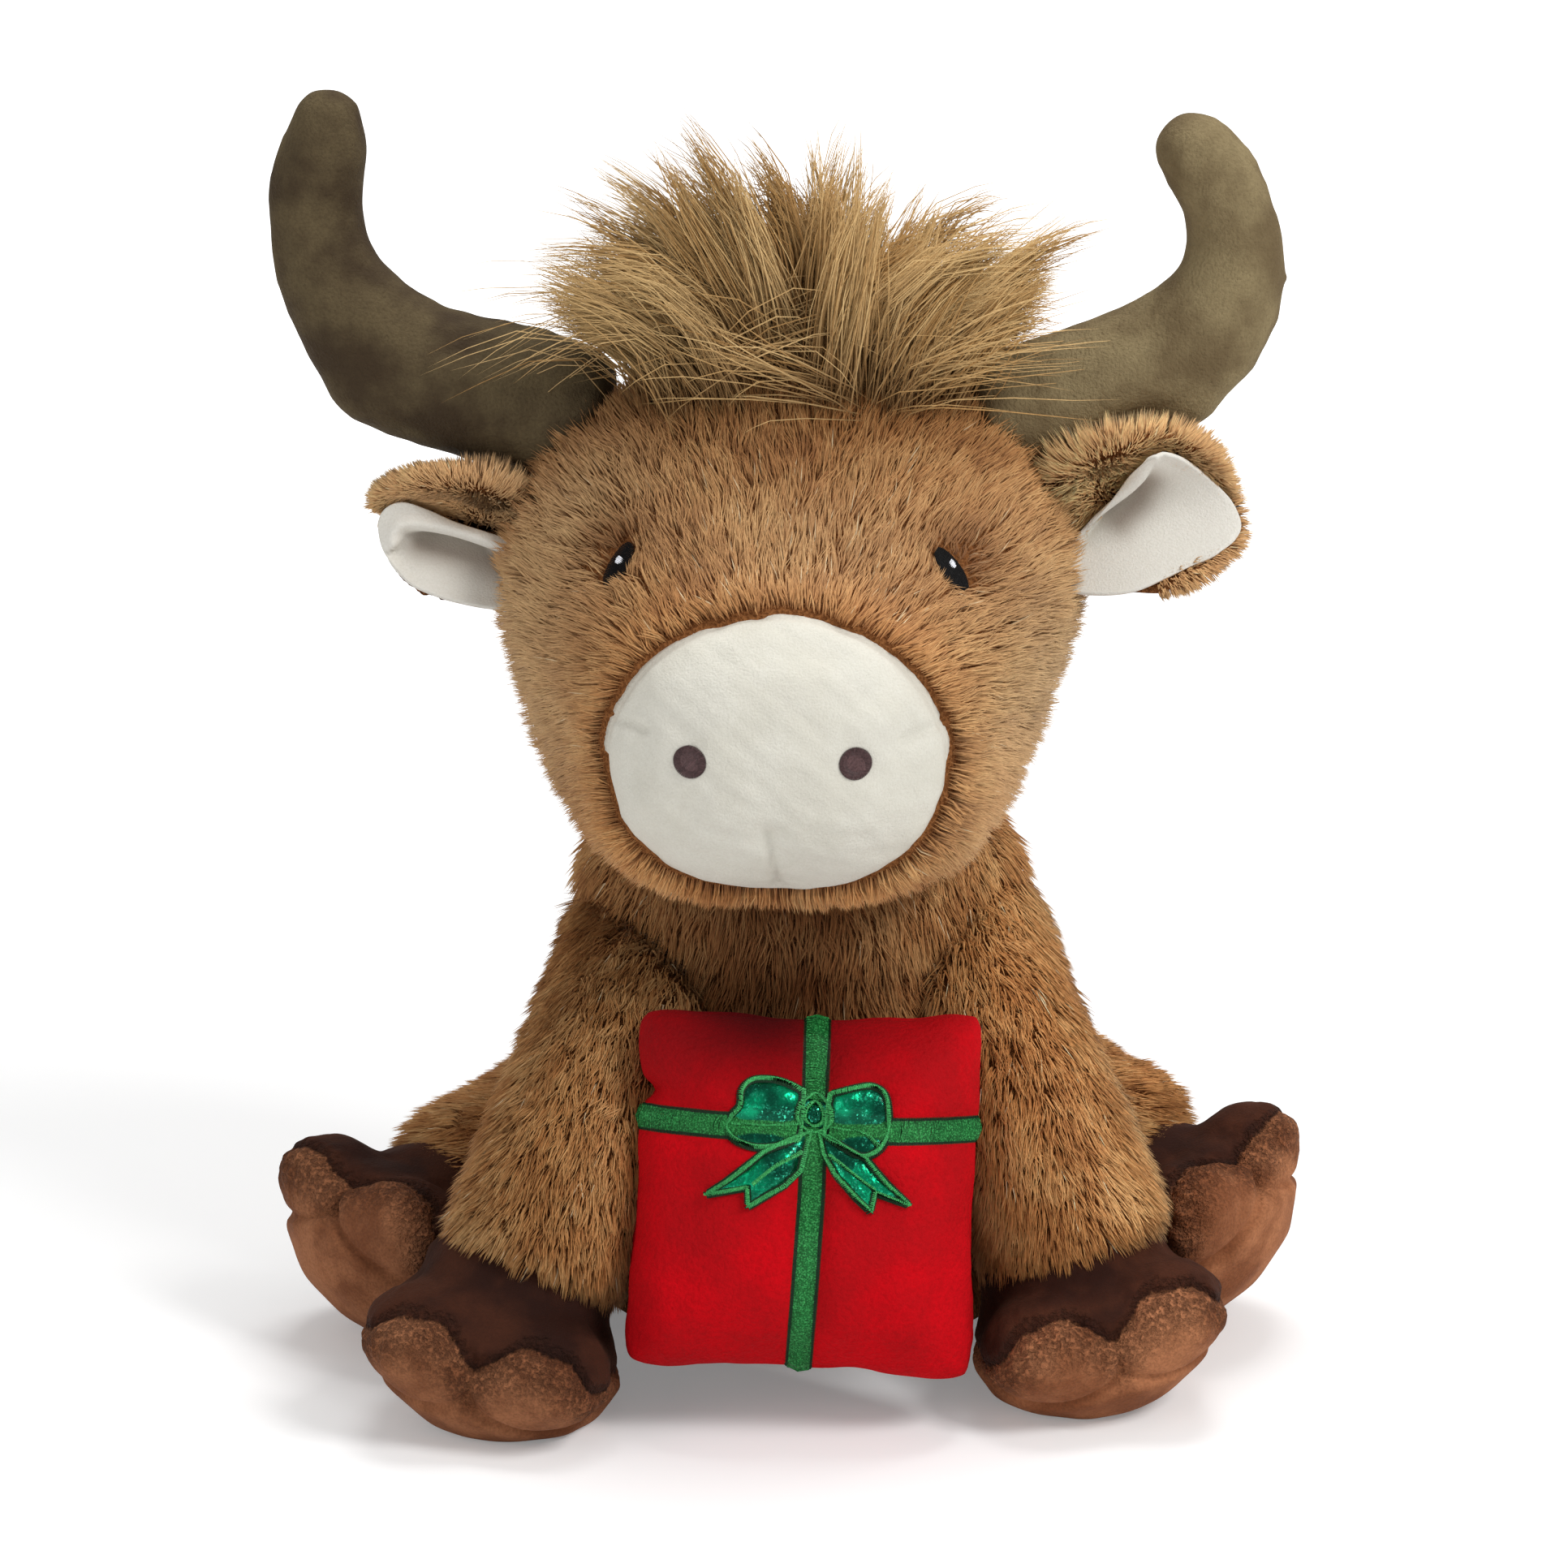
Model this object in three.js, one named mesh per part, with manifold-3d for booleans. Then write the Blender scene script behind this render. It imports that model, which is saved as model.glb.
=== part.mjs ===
// A seated plush highland cow with a stuffed gift tacked between its front legs.
// Millimetres, +Z up. The cow faces -Y and its origin is on the flat seat. Left and right are as seen from the
// front, so left is -X.
import * as THREE from "three";
import { mergeVertices } from "three/addons/utils/BufferGeometryUtils.js";
import Module from "manifold-3d";

const wasm = await Module();
wasm.setup();

// Fits: between pieces sewn to each other, and round a limb that swings
const gap = 0.3;
const overrun = 400;

// Body: a pear on a flat seat, with a ball for a neck
const bodyHeight = 104;
const bodyHalfWidth = 60;
const bodyHalfDepth = 54;
const bodyOffset = 3;
const neckRadius = 46;
const neckBack = 8;
const neckSides = 32;
const neckBands = 10;
const skinWall = 5;
const innerSides = 14;
const closingSeamWidth = 44;
const closingSeamOpening = 2.4;
const closingSeamHeight = 30;
const pelletBagWidth = 62;
const pelletBagDepth = 48;
const pelletBagHeight = 26;
const pelletBagRaise = 24;
const pelletBagBack = 24;

// Head: an egg that narrows forwards to a snout with a flattened front
const headHalfWidth = 66;
const headHalfHeight = 55;
const headDepth = 142;
const headBack = 58;
const headRise = 71;
const headTurnAngle = -3;

// Muzzle panel, nostrils and eyes, sewn on the front of the head
const muzzleHalfWidth = 38.5;
const muzzleHalfHeight = 31.5;
const muzzleDrop = 19.5;
const muzzleThickness = 2.4;
const nostrilWidth = 7.2;
const nostrilHeight = 8;
const nostrilSpacing = 36;
const nostrilRise = 1.4;
const eyeWidth = 8;
const eyeHeight = 10.5;
const eyeSpacing = 74.5;
const eyeRise = 17.5;
const eyeSlantAngle = 14;
const stitchHeight = 0.7;
const stitchDepth = 0.9;

// Horns: stuffed tubes that leave the head sideways and curl up
const hornBaseRadius = 17;
const hornRoot = 50;
const hornRise = 42.5;
const hornBack = 9;
const leftHornReach = 61;
const leftHornRise = 70;
const rightHornReach = 52;
const rightHornRise = 66;
const hornTipDome = 6.5;
const hornTipBack = 5;

// Forelock: locks of long pile that fan out of a patch on top of the head
const forelockLength = 73;
const forelockWidth = 76;
const forelockDepth = 30;
const forelockPatchHeight = 15;
const forelockRise = 50;
const forelockRoot = 10;
const forelockBack = 2;
const lockRadius = 8.5;
const lockWaistShare = 0.8;
const lockMiddleShare = 0.55;
const lockSpanAngle = 110;
const lockLeanAngle = 46;

// Ears: fur troughs lined with velour, pinched at the root
const earWall = 5;
const earLiningWall = 2;
const leftEarLength = 37;
const leftEarHalfHeight = 15;
const leftEarRise = 15;
const rightEarLength = 43;
const rightEarHalfHeight = 17;
const rightEarRise = 20;
const earRoot = 61;
const earForward = 2;
const earCupAngle = 68;
const earTiltAngle = 6;
const earTrimShare = 0.92;
const earSwingBackAngle = 15;
const earSwingForwardAngle = 20;

// Front legs: fur sleeves that flare over the hooves
const shoulderDrop = 6;
const shoulderBack = 2;
const foreLegDrop = 62;
const foreLegRadius = 18;
const foreLegEndDome = 6;
const foreLegLiftAngle = 15;
const leftShoulder = 31;
const leftForeSpread = 27;
const leftForeStride = 60;
const rightShoulder = 38;
const rightForeSpread = 27;
const rightForeStride = 49;

// Hooves: a rounded sole that turns up over two toes, under a darker upper
const hoofHalfWidth = 30;
const hoofHalfLength = 29;
const hoofBodyHeight = 31;
const hoofSunk = 8;
const instepHeight = 45;
const instepHalfWidth = 24;
const instepHalfLength = 23;
const instepBack = 7;
const toeHalfWidth = 16.5;
const toeHalfLength = 16;
const toeHalfHeight = 12.5;
const toeSpacing = 27;
const toeForward = 13;
const toeHeight = 15.5;
const soleHeight = 13;
const hoofSides = 10;
const leftForeHoofOut = 70.5;
const leftForeHoofForward = 68;
const leftForeHoofHeight = 4;
const leftForeHoofTurnAngle = -9;
const leftForeHoofPitchAngle = 5;
const leftForeHoofRollAngle = -13;
const rightForeHoofOut = 72;
const rightForeHoofForward = 57;
const rightForeHoofHeight = 5;
const rightForeHoofTurnAngle = 9;
const rightForeHoofPitchAngle = 8;
const rightForeHoofRollAngle = 13;

// Hind legs: thick at the hip, splayed forwards and outwards
const hipOut = 38;
const hipBack = 26;
const leftHipHeight = 37.5;
const rightHipHeight = 44;
const hipRadius = 31;
const hindLegEndDome = 6;
const hindLegSpreadAngle = 18;
const leftHindReach = 44;
const leftHindStride = 26;
const rightHindReach = 46;
const rightHindStride = 20;
const hindLegDrop = 7;
const leftHindHoofOut = 102.5;
const leftHindHoofForward = 24;
const leftHindHoofHeight = 14;
const leftHindHoofTurnAngle = -34;
const leftHindHoofPitchAngle = 46;
const leftHindHoofRollAngle = -14;
const rightHindHoofOut = 105;
const rightHindHoofForward = 16;
const rightHindHoofHeight = 18.5;
const rightHindHoofTurnAngle = 36;
const rightHindHoofPitchAngle = 46;
const rightHindHoofRollAngle = 24;

// Tail: a thin strip with a tuft, hanging down the back
const tailHeight = 56;
const tailRadius = 5;
const tailDrop = 26;
const tailBack = 17;
const tailRootShare = 1.1;
const tailBendBackShare = 0.7;
const tailBendDropShare = 0.3;
const tailLiftAngle = 60;
const tuftRadius = 10;
const tuftLength = 26;

// Gift: a velour cushion with a stitched ribbon and bow
const giftHalfWidth = 38.5;
const giftHalfHeight = 41.5;
const giftHalfThickness = 15;
const giftSeam = 1.2;
const giftOffset = 2.4;
const giftForward = 67;
const giftHeight = 53.5;
const giftLeanAngle = 16;
const giftRollAngle = 2.2;
const ribbonWidth = 6.4;
const ribbonOffset = 1.5;
const bowRise = 18.5;
const ribbonSag = 3.4;
const loopLength = 18;
const loopHeight = 15.5;
const bowTailLength = 21;
const bowTailDrop = 20;
const knotRadius = 4.7;
const gemRadius = 2.2;

// Finishes
const furBrown = finish("#a5703f", 0.95);
const paleFur = finish("#b08d62", 0.95);
const fibre = finish("#f2f0ea", 1);
const linen = finish("#d8cdb6", 0.9);
const cream = finish("#e6e0d3", 0.85);
const nostrilThread = finish("#4d3936", 0.6);
const blackThread = finish("#15110f", 0.35);
const hornVelour = finish("#6b5d43", 0.85);
const darkVelour = finish("#42251a", 0.85);
const soleVelour = finish("#6f4a36", 0.85);
const redVelour = finish("#c20a18", 0.8);
const greenThread = finish("#1f6e3a", 0.5);
const foil = finish("#0b6b4f", 0.3, 0.6);

function finish(color, roughness, metalness = 0) {
  return new THREE.MeshStandardMaterial({ color, roughness, metalness });
}

const point = (x, y, z) => new THREE.Vector3(x, y, z);
const radians = THREE.MathUtils.degToRad;

// A closed mesh as a solid that can be joined and cut
function solidOf(geometry) {
  const bare = geometry.clone();
  bare.deleteAttribute("normal");
  bare.deleteAttribute("uv");
  const merged = mergeVertices(bare);
  const mesh = { numProp: 3, vertProperties: merged.attributes.position.array };
  mesh.triVerts = new Uint32Array(merged.index.array);
  return new wasm.Manifold(new wasm.Mesh(mesh));
}

function geometryOf(solid) {
  const mesh = solid.getMesh();
  const places = new Float32Array(mesh.numVert * 3);
  for (let i = 0; i < mesh.numVert; i++)
    places.set(mesh.vertProperties.subarray(i * mesh.numProp, i * mesh.numProp + 3), i * 3);
  const geometry = new THREE.BufferGeometry();
  geometry.setAttribute("position", new THREE.BufferAttribute(places, 3));
  geometry.setIndex(new THREE.BufferAttribute(new Uint32Array(mesh.triVerts), 1));
  return geometry;
}

const moved = (solid, matrix) => solidOf(geometryOf(solid).applyMatrix4(matrix));
const shifted = (solid, x, y, z) => moved(solid, new THREE.Matrix4().makeTranslation(x, y, z));

// A solid turned about an axis through a pivot, in degrees
function turned(solid, pivot, axis, angle) {
  const matrix = new THREE.Matrix4().makeTranslation(pivot);
  matrix.multiply(new THREE.Matrix4().makeRotationAxis(axis, radians(angle)));
  matrix.multiply(new THREE.Matrix4().makeTranslation(pivot.clone().negate()));
  return moved(solid, matrix);
}

const joined = (solids) => solids.reduce((all, next) => all.add(next));

// The room that a solid sweeps as it turns about a pivot from one angle to another
function swept(solid, pivot, axis, from, to, steps) {
  const places = [];
  for (let i = 0; i <= steps; i++)
    places.push(turned(solid, pivot, axis, from + ((to - from) * i) / steps));
  return joined(places);
}

// A closed skin over rings of equally many points, drawn together to a point at each end
function skin(rings, start, end) {
  const count = rings[0].length;
  const places = [...rings.flat(), start, end];
  const faces = [];
  const top = (rings.length - 1) * count;
  for (let i = 0; i < count; i++) {
    const next = (i + 1) % count;
    for (let base = 0; base < top; base += count) {
      faces.push(base + i, base + next, base + count + next);
      faces.push(base + i, base + count + next, base + count + i);
    }
    faces.push(places.length - 2, next, i);
    faces.push(places.length - 1, top + i, top + next);
  }
  const geometry = new THREE.BufferGeometry().setFromPoints(places);
  geometry.setIndex(faces);
  return solidOf(geometry);
}

// One ring of a skin. A roundness of 1 makes that half of it an ellipse, and less makes it squarer.
function ring(centre, across, up, halfWidth, halfHeight, sides, upperRoundness = 1, lowerRoundness = 1) {
  const points = [];
  for (let i = 0; i < sides; i++) {
    const angle = (2 * Math.PI * i) / sides;
    const roundness = Math.sin(angle) > 0 ? upperRoundness : lowerRoundness;
    const width = halfWidth * Math.sign(Math.cos(angle)) * Math.abs(Math.cos(angle)) ** roundness;
    const height = halfHeight * Math.sign(Math.sin(angle)) * Math.abs(Math.sin(angle)) ** roundness;
    points.push(centre.clone().addScaledVector(across, width).addScaledVector(up, height));
  }
  return points;
}

// A stuffed limb along a smooth path. Sizes are half widths and half heights at the path's points, and its
// ends are domes of the given lengths.
function limb(path, sizes, up, sides, steps, startDome, endDome, grow = 0) {
  const line = new THREE.CatmullRomCurve3(path);
  const girth = new THREE.CatmullRomCurve3(sizes.map(([width, height]) => point(width, height, 0)));
  const rings = [];
  const domeSteps = 3;
  const place = (t, along, share) => {
    const tangent = line.getTangent(t);
    const height = up.clone().addScaledVector(tangent, -up.dot(tangent)).normalize();
    const across = height.clone().cross(tangent);
    const centre = line.getPoint(t).addScaledVector(tangent, along);
    const size = girth.getPoint(t);
    return ring(centre, across, height, (size.x + grow) * share, (size.y + grow) * share, sides);
  };
  for (let i = 1; i < domeSteps; i++) {
    const angle = (Math.PI / 2) * (1 - i / domeSteps);
    rings.push(place(0, -(startDome + grow) * Math.sin(angle), Math.cos(angle)));
  }
  for (let i = 0; i <= steps; i++) rings.push(place(i / steps, 0, 1));
  for (let i = 1; i < domeSteps; i++) {
    const angle = ((Math.PI / 2) * i) / domeSteps;
    rings.push(place(1, (endDome + grow) * Math.sin(angle), Math.cos(angle)));
  }
  const start = line.getPoint(0).addScaledVector(line.getTangent(0), -(startDome + grow));
  const end = line.getPoint(1).addScaledVector(line.getTangent(1), endDome + grow);
  return skin(rings, start, end);
}

// A closed sheet between two grids of points, the second behind the first
function slab(front, back) {
  const rows = front.length;
  const columns = front[0].length;
  const at = (side, row, column) => (side * rows + row) * columns + column;
  const faces = [];
  const quad = (a, b, c, d) => faces.push(a, b, c, a, c, d);
  for (let row = 0; row + 1 < rows; row++)
    for (let column = 0; column + 1 < columns; column++) {
      const corners = [[row, column], [row, column + 1], [row + 1, column + 1], [row + 1, column]];
      quad(...corners.map(([r, c]) => at(0, r, c)));
      quad(...corners.reverse().map(([r, c]) => at(1, r, c)));
    }
  const rim = (row, column, nextRow, nextColumn) =>
    quad(at(0, row, column), at(0, nextRow, nextColumn), at(1, nextRow, nextColumn), at(1, row, column));
  for (let row = 0; row + 1 < rows; row++) {
    rim(row, 0, row + 1, 0);
    rim(row + 1, columns - 1, row, columns - 1);
  }
  for (let column = 0; column + 1 < columns; column++) {
    rim(0, column + 1, 0, column);
    rim(rows - 1, column, rows - 1, column + 1);
  }
  const geometry = new THREE.BufferGeometry().setFromPoints([...front.flat(), ...back.flat()]);
  geometry.setIndex(faces);
  return solidOf(geometry);
}

function ellipsoid(x, y, z, halfX, halfY, halfZ, sides = 12) {
  const geometry = new THREE.SphereGeometry(1, sides, sides / 2).rotateX(Math.PI / 2);
  return solidOf(geometry.scale(halfX, halfY, halfZ).translate(x, y, z));
}

function box(fromX, toX, fromY, toY, fromZ, toZ) {
  const geometry = new THREE.BoxGeometry(toX - fromX, toY - fromY, toZ - fromZ);
  return solidOf(geometry.translate((fromX + toX) / 2, (fromY + toY) / 2, (fromZ + toZ) / 2));
}

// All space above or below a level
const above = (z) => box(-overrun, overrun, -overrun, overrun, z, z + overrun);
const below = (z) => box(-overrun, overrun, -overrun, overrun, z - overrun, z);

// A straight-sided cutter: an outline seen from the front, running forwards from the plane y = 0
function cutter(outline) {
  const plate = new THREE.ExtrudeGeometry(outline, { depth: overrun, bevelEnabled: false, curveSegments: 8 });
  return solidOf(plate.rotateX(Math.PI / 2));
}

function oval(x, z, halfWidth, halfHeight, slant = 0) {
  const outline = new THREE.Shape();
  outline.absellipse(x, z, halfWidth, halfHeight, 0, 2 * Math.PI, false, radians(slant));
  return outline;
}

// An outline of points, grown outwards by an even margin
function patch(points, margin) {
  const moves = points.map((here, i) => {
    const before = points[(i + points.length - 1) % points.length];
    const after = points[(i + 1) % points.length];
    const inward = here.clone().sub(before).normalize();
    const onward = after.clone().sub(here).normalize();
    const normal = new THREE.Vector2(inward.y + onward.y, -inward.x - onward.x).normalize();
    const spread = Math.max(0.5, normal.dot(new THREE.Vector2(onward.y, -onward.x)));
    return here.clone().addScaledVector(normal, margin / spread);
  });
  return new THREE.Shape(moves);
}

// The slice of a body's front face inside a cutter, proud of the face and sunk into it
function slice(body, cut, proud, deep) {
  return shifted(body, 0, -proud, 0).intersect(cut).subtract(shifted(body, 0, deep, 0));
}

// The bed that such a slice lies in, taken out of the body
const bed = (body, cut, deep) => cut.subtract(shifted(body, 0, deep + gap, 0));

const acrossX = point(1, 0, 0);
const upZ = point(0, 0, 1);
const neck = point(0, neckBack, bodyHeight);
const headHeight = bodyHeight + headRise;
const shoulderHeight = bodyHeight - shoulderDrop;

// Body, by height: shares of the height, the half width, the half depth and how far back the middle is
const bodyShares = [
  [0, 0.83, 0.81, 0.26],
  [0.05, 0.92, 0.91, 0.26],
  [0.14, 0.98, 0.98, 0.26],
  [0.3, 1, 1, 0.24],
  [0.48, 0.98, 0.96, 0.2],
  [0.66, 0.93, 0.88, 0.16],
  [0.84, 0.87, 0.8, 0.13],
  [1, 0.8, 0.74, 0.14],
  [1.1, 0.67, 0.63, 0.15],
  [1.16, 0.5, 0.48, 0.15],
];

function body(grow, sides = 18) {
  const back = point(0, 1, 0);
  const place = ([height, , , middle]) =>
    point(bodyOffset, middle * bodyHalfDepth, height * (bodyHeight + 2 * grow) - grow);
  const rings = bodyShares.map((share) => {
    const [, width, depth] = share;
    return ring(place(share), acrossX, back, width * bodyHalfWidth + grow, depth * bodyHalfDepth + grow, sides);
  });
  const pear = skin(rings, place(bodyShares[0]), place(bodyShares.at(-1)));
  return pear.add(neckBall(neckRadius + grow, grow < 0 ? sides : neckSides));
}

// The neck's ball is faceted finely about the axis that the head nods on, so the head keeps clear of it
function neckBall(radius, sides = neckSides) {
  const ball = new THREE.SphereGeometry(radius, sides, neckBands).rotateZ(Math.PI / 2);
  return solidOf(ball.translate(neck.x, neck.y, neck.z));
}

// Head, from back to front: shares of the depth, the half width, the half height, and of the half height that
// the middle rises
const headShares = [
  [0.03, 0.33, 0.36, 0.08],
  [0.08, 0.56, 0.59, 0.06],
  [0.16, 0.78, 0.8, 0.04],
  [0.25, 0.93, 0.94, 0.02],
  [0.36, 1, 1, 0],
  [0.45, 1, 0.99, -0.02],
  [0.54, 0.965, 0.93, -0.07],
  [0.64, 0.88, 0.84, -0.16],
  [0.73, 0.775, 0.735, -0.26],
  [0.81, 0.68, 0.645, -0.33],
  [0.875, 0.585, 0.565, -0.35],
  [0.93, 0.45, 0.44, -0.355],
  [0.97, 0.3, 0.29, -0.355],
];
const headTopRoundness = 0.9;
const headJawRoundness = 0.74;

function head(grow, sides = 22) {
  const place = (depth, rise) =>
    point(0, headBack + grow - depth * (headDepth + 2 * grow), headHeight + rise * headHalfHeight);
  const rings = headShares.map(([depth, width, height, rise]) =>
    ring(
      place(depth, rise),
      acrossX.clone().negate(),
      upZ,
      width * headHalfWidth + grow,
      height * headHalfHeight + grow,
      sides,
      headTopRoundness,
      headJawRoundness,
    ),
  );
  rings.reverse();
  return skin(rings, place(1, headShares.at(-1)[3]), place(0, headShares[0][3]));
}

// Everything on the head turns with it about the neck
const inHead = (solid) => turned(solid, neck, upZ, headTurnAngle);

// Horn paths, from root to tip: shares of the reach and of the rise, and of the radius at the root
const leftHornShares = [
  [0, 0, 1],
  [0.32, 0.09, 1],
  [0.575, 0.16, 0.93],
  [0.74, 0.235, 0.87],
  [0.9, 0.38, 0.77],
  [0.98, 0.51, 0.7],
  [1, 0.65, 0.65],
  [0.985, 0.8, 0.62],
  [0.95, 0.93, 0.57],
  [0.94, 1, 0.47],
];
const rightHornShares = [
  [0, 0, 0.95],
  [0.27, 0.1, 0.9],
  [0.52, 0.18, 0.85],
  [0.81, 0.3, 0.85],
  [0.96, 0.45, 0.75],
  [1, 0.6, 0.66],
  [0.96, 0.76, 0.61],
  [0.87, 0.9, 0.58],
  [0.78, 0.985, 0.48],
];

function horn(side, reach, rise, shares) {
  const path = shares.map(([out, up], i) => {
    const forward = (hornTipBack - hornBack) * (i / (shares.length - 1));
    return point(side * (hornRoot + out * reach), hornBack + forward, headHeight + hornRise + up * rise);
  });
  const sizes = shares.map(([, , girth]) => [girth * hornBaseRadius, girth * hornBaseRadius]);
  return limb(path, sizes, point(0, 1, 0), 10, 12, hornTipDome, hornTipDome);
}

// Locks stand in rows, leaning back or forwards, and each row fans out sideways. Each lock's length is a
// share of the forelock's.
const lockRowShares = [-1, 0, 1];
const locksInRow = 8;
const lockSides = 4;
const lockLengthShares = [0.96, 0.82, 1, 0.88, 0.97, 0.8, 0.92];

function lock(root, middle, tip, direction) {
  const across = point(0, 1, 0).cross(direction).normalize();
  const up = direction.clone().cross(across);
  const rings = [
    ring(root, across, up, lockRadius, lockRadius, lockSides),
    ring(middle, across, up, lockWaistShare * lockRadius, lockWaistShare * lockRadius, lockSides),
  ];
  return skin(rings, root, tip);
}

function forelock() {
  const root = point(0, 0, headHeight + forelockRise - forelockRoot);
  const pieces = [
    ellipsoid(0, 0, headHeight + forelockRise, forelockWidth / 2, forelockDepth / 2, forelockPatchHeight),
  ];
  lockRowShares.forEach((row, r) => {
    const count = locksInRow - (r % 2);
    for (let i = 0; i < count; i++) {
      const fan = radians(lockSpanAngle * (i / (count - 1) - 0.5));
      const lean = radians((row * lockLeanAngle) / 2);
      const length = forelockLength * lockLengthShares[(3 * i + 2 * r) % lockLengthShares.length];
      const direction = point(Math.sin(fan), Math.sin(lean), Math.cos(fan) * Math.cos(lean)).normalize();
      const middle = root.clone().addScaledVector(direction, length * lockMiddleShare);
      const tip = root.clone().addScaledVector(direction, length);
      pieces.push(lock(root, middle, tip, direction));
    }
  });
  return shifted(joined(pieces), 0, forelockBack, 0);
}

// An ear's trough, from root to tip: shares of the length and of the half height
const earShares = [
  [0, 0.52],
  [0.14, 0.72],
  [0.32, 0.93],
  [0.52, 1],
  [0.72, 0.9],
  [0.87, 0.68],
  [0.96, 0.42],
  [1, 0.2],
];

// The half height share at a share of the way along the ear
function earSizeAt(along) {
  const next = Math.max(1, earShares.findIndex(([here]) => here >= along));
  const [from, low] = earShares[next - 1];
  const [to, high] = earShares[next];
  return low + ((high - low) * (along - from)) / (to - from);
}

// A trough wall between two depths behind its inner face, its outline trimmed to a share of the ear's
function ear(side, length, halfHeight, height, inner, outer, trimShare) {
  const columns = 6;
  const grid = (depth) =>
    earShares.map(([share, size]) => {
      const along = share * trimShare;
      const half = halfHeight * earSizeAt(along);
      const sweep = (earCupAngle * trimShare * size) / earSizeAt(along);
      const row = [];
      for (let c = 0; c <= columns; c++) {
        const angle = radians(Math.min(sweep, earCupAngle)) * ((2 * c) / columns - 1) * side;
        const radius = half + depth;
        row.push(point(side * along * length, radius * Math.cos(angle) - half, radius * Math.sin(angle)));
      }
      return row;
    });
  const sheet = slab(grid(outer), grid(inner));
  const tipped = turned(sheet, point(0, 0, 0), point(0, 1, 0), side * -earTiltAngle);
  return shifted(tipped, side * earRoot, -earForward, height);
}

// The head's own room as an ear swings past it
function headPastEar(side) {
  const pivot = point(side * earRoot, -earForward, headHeight);
  return swept(head(gap), pivot, upZ, -side * earSwingBackAngle, side * earSwingForwardAngle, 3);
}

// Front leg, from the shoulder down: shares of the spread, the stride, the drop and of the leg's radius
const foreLegShares = [
  [0, 0, 0, 1.02],
  [0.22, 0.42, 0.26, 1.04],
  [0.62, 0.82, 0.6, 1.04],
  [1, 1, 1, 1.1],
];

function foreLeg(side, shoulder, spread, stride, grow) {
  const path = foreLegShares.map(([out, forward, down]) =>
    point(
      side * (shoulder + out * spread),
      shoulderBack - forward * stride,
      shoulderHeight - down * foreLegDrop,
    ),
  );
  const sizes = foreLegShares.map(([, , , girth]) => [girth * foreLegRadius, girth * foreLegRadius]);
  return limb(path, sizes, point(0, 1, 0), 14, 7, foreLegRadius, foreLegEndDome, grow);
}

const shoulderPivot = point(0, shoulderBack, shoulderHeight);

// A hoof's frame: toes forwards, turned to the side, pitched up and rolled
function hoofPlace(out, forward, height, turn, pitch, roll) {
  const matrix = new THREE.Matrix4().makeTranslation(out, -forward, height);
  matrix.multiply(new THREE.Matrix4().makeRotationZ(Math.PI + radians(turn)));
  matrix.multiply(new THREE.Matrix4().makeRotationX(radians(pitch)));
  return matrix.multiply(new THREE.Matrix4().makeRotationY(radians(roll)));
}

// The parts of a hoof in its own frame, grown by a margin: the toes at +Y and a sole that bulges below z = 0
function hoofBase(grow) {
  const halfHeight = (hoofBodyHeight + hoofSunk) / 2;
  const middle = hoofBodyHeight - halfHeight;
  return ellipsoid(0, 0, middle, hoofHalfWidth + grow, hoofHalfLength + grow, halfHeight + grow);
}

function hoofInstep(grow) {
  const half = instepHeight / 2;
  const sizes = [instepHalfWidth + grow, instepHalfLength + grow, half + grow];
  return ellipsoid(0, -instepBack, half, ...sizes, hoofSides);
}

function hoofToes(grow) {
  const sizes = [toeHalfWidth + grow, toeHalfLength + grow, toeHalfHeight + grow];
  const toe = (out) => ellipsoid(out, toeForward, toeHeight, ...sizes, hoofSides);
  return toe(-toeSpacing / 2).add(toe(toeSpacing / 2));
}

const hoofOutline = (grow) => joined([hoofBase(grow), hoofInstep(grow), hoofToes(grow)]);

function hoof() {
  const base = hoofBase(0);
  const sole = base.intersect(below(soleHeight)).add(hoofToes(0));
  const upper = base.add(hoofInstep(0)).intersect(above(soleHeight + gap)).subtract(hoofToes(gap));
  return { sole, upper: largest(upper) };
}

// The largest of the separate bodies that a cut leaves
function largest(solid) {
  return solid.decompose().reduce((most, next) => (next.volume() > most.volume() ? next : most));
}

// Hind leg, from the hip out: shares of the way and of the hip's radius
const hindLegShares = [
  [0, 1],
  [0.5, 0.97],
  [1, 0.77],
];

function hindLeg(side, height, reach, stride, grow) {
  const hip = point(side * hipOut, hipBack, height);
  const path = hindLegShares.map(([along]) =>
    hip.clone().add(point(side * along * reach, -along * stride, -along * hindLegDrop)),
  );
  const sizes = hindLegShares.map(([, girth]) => [girth * hipRadius, girth * hipRadius]);
  return limb(path, sizes, upZ, 14, 4, hipRadius, hindLegEndDome, grow);
}

// Tail and tuft, hanging behind the body
const tailRoot = point(bodyOffset, bodyHalfDepth * tailRootShare, tailHeight);

function tailStrip(grow) {
  const path = [
    tailRoot,
    tailRoot.clone().add(point(0, tailBendBackShare * tailBack, -tailBendDropShare * tailDrop)),
    tailRoot.clone().add(point(0, tailBack, -tailDrop)),
  ];
  const sizes = path.map(() => [tailRadius, tailRadius]);
  return limb(path, sizes, acrossX, 10, 6, tailRadius, tailRadius, grow);
}

// Tuft, from the top down: shares of its length and of its radius
const tuftShares = [
  [0, 0.55],
  [0.35, 0.95],
  [0.7, 0.85],
  [1, 0.3],
];

function tailTuft() {
  const top = tailRoot.clone().add(point(0, tailBack, -tailDrop));
  const path = tuftShares.map(([down]) => top.clone().add(point(0, 0, tailRadius / 2 - down * tuftLength)));
  const sizes = tuftShares.map(([, girth]) => [girth * tuftRadius, girth * tuftRadius]);
  return limb(path, sizes, acrossX, 12, 6, tailRadius, tailRadius);
}

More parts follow.
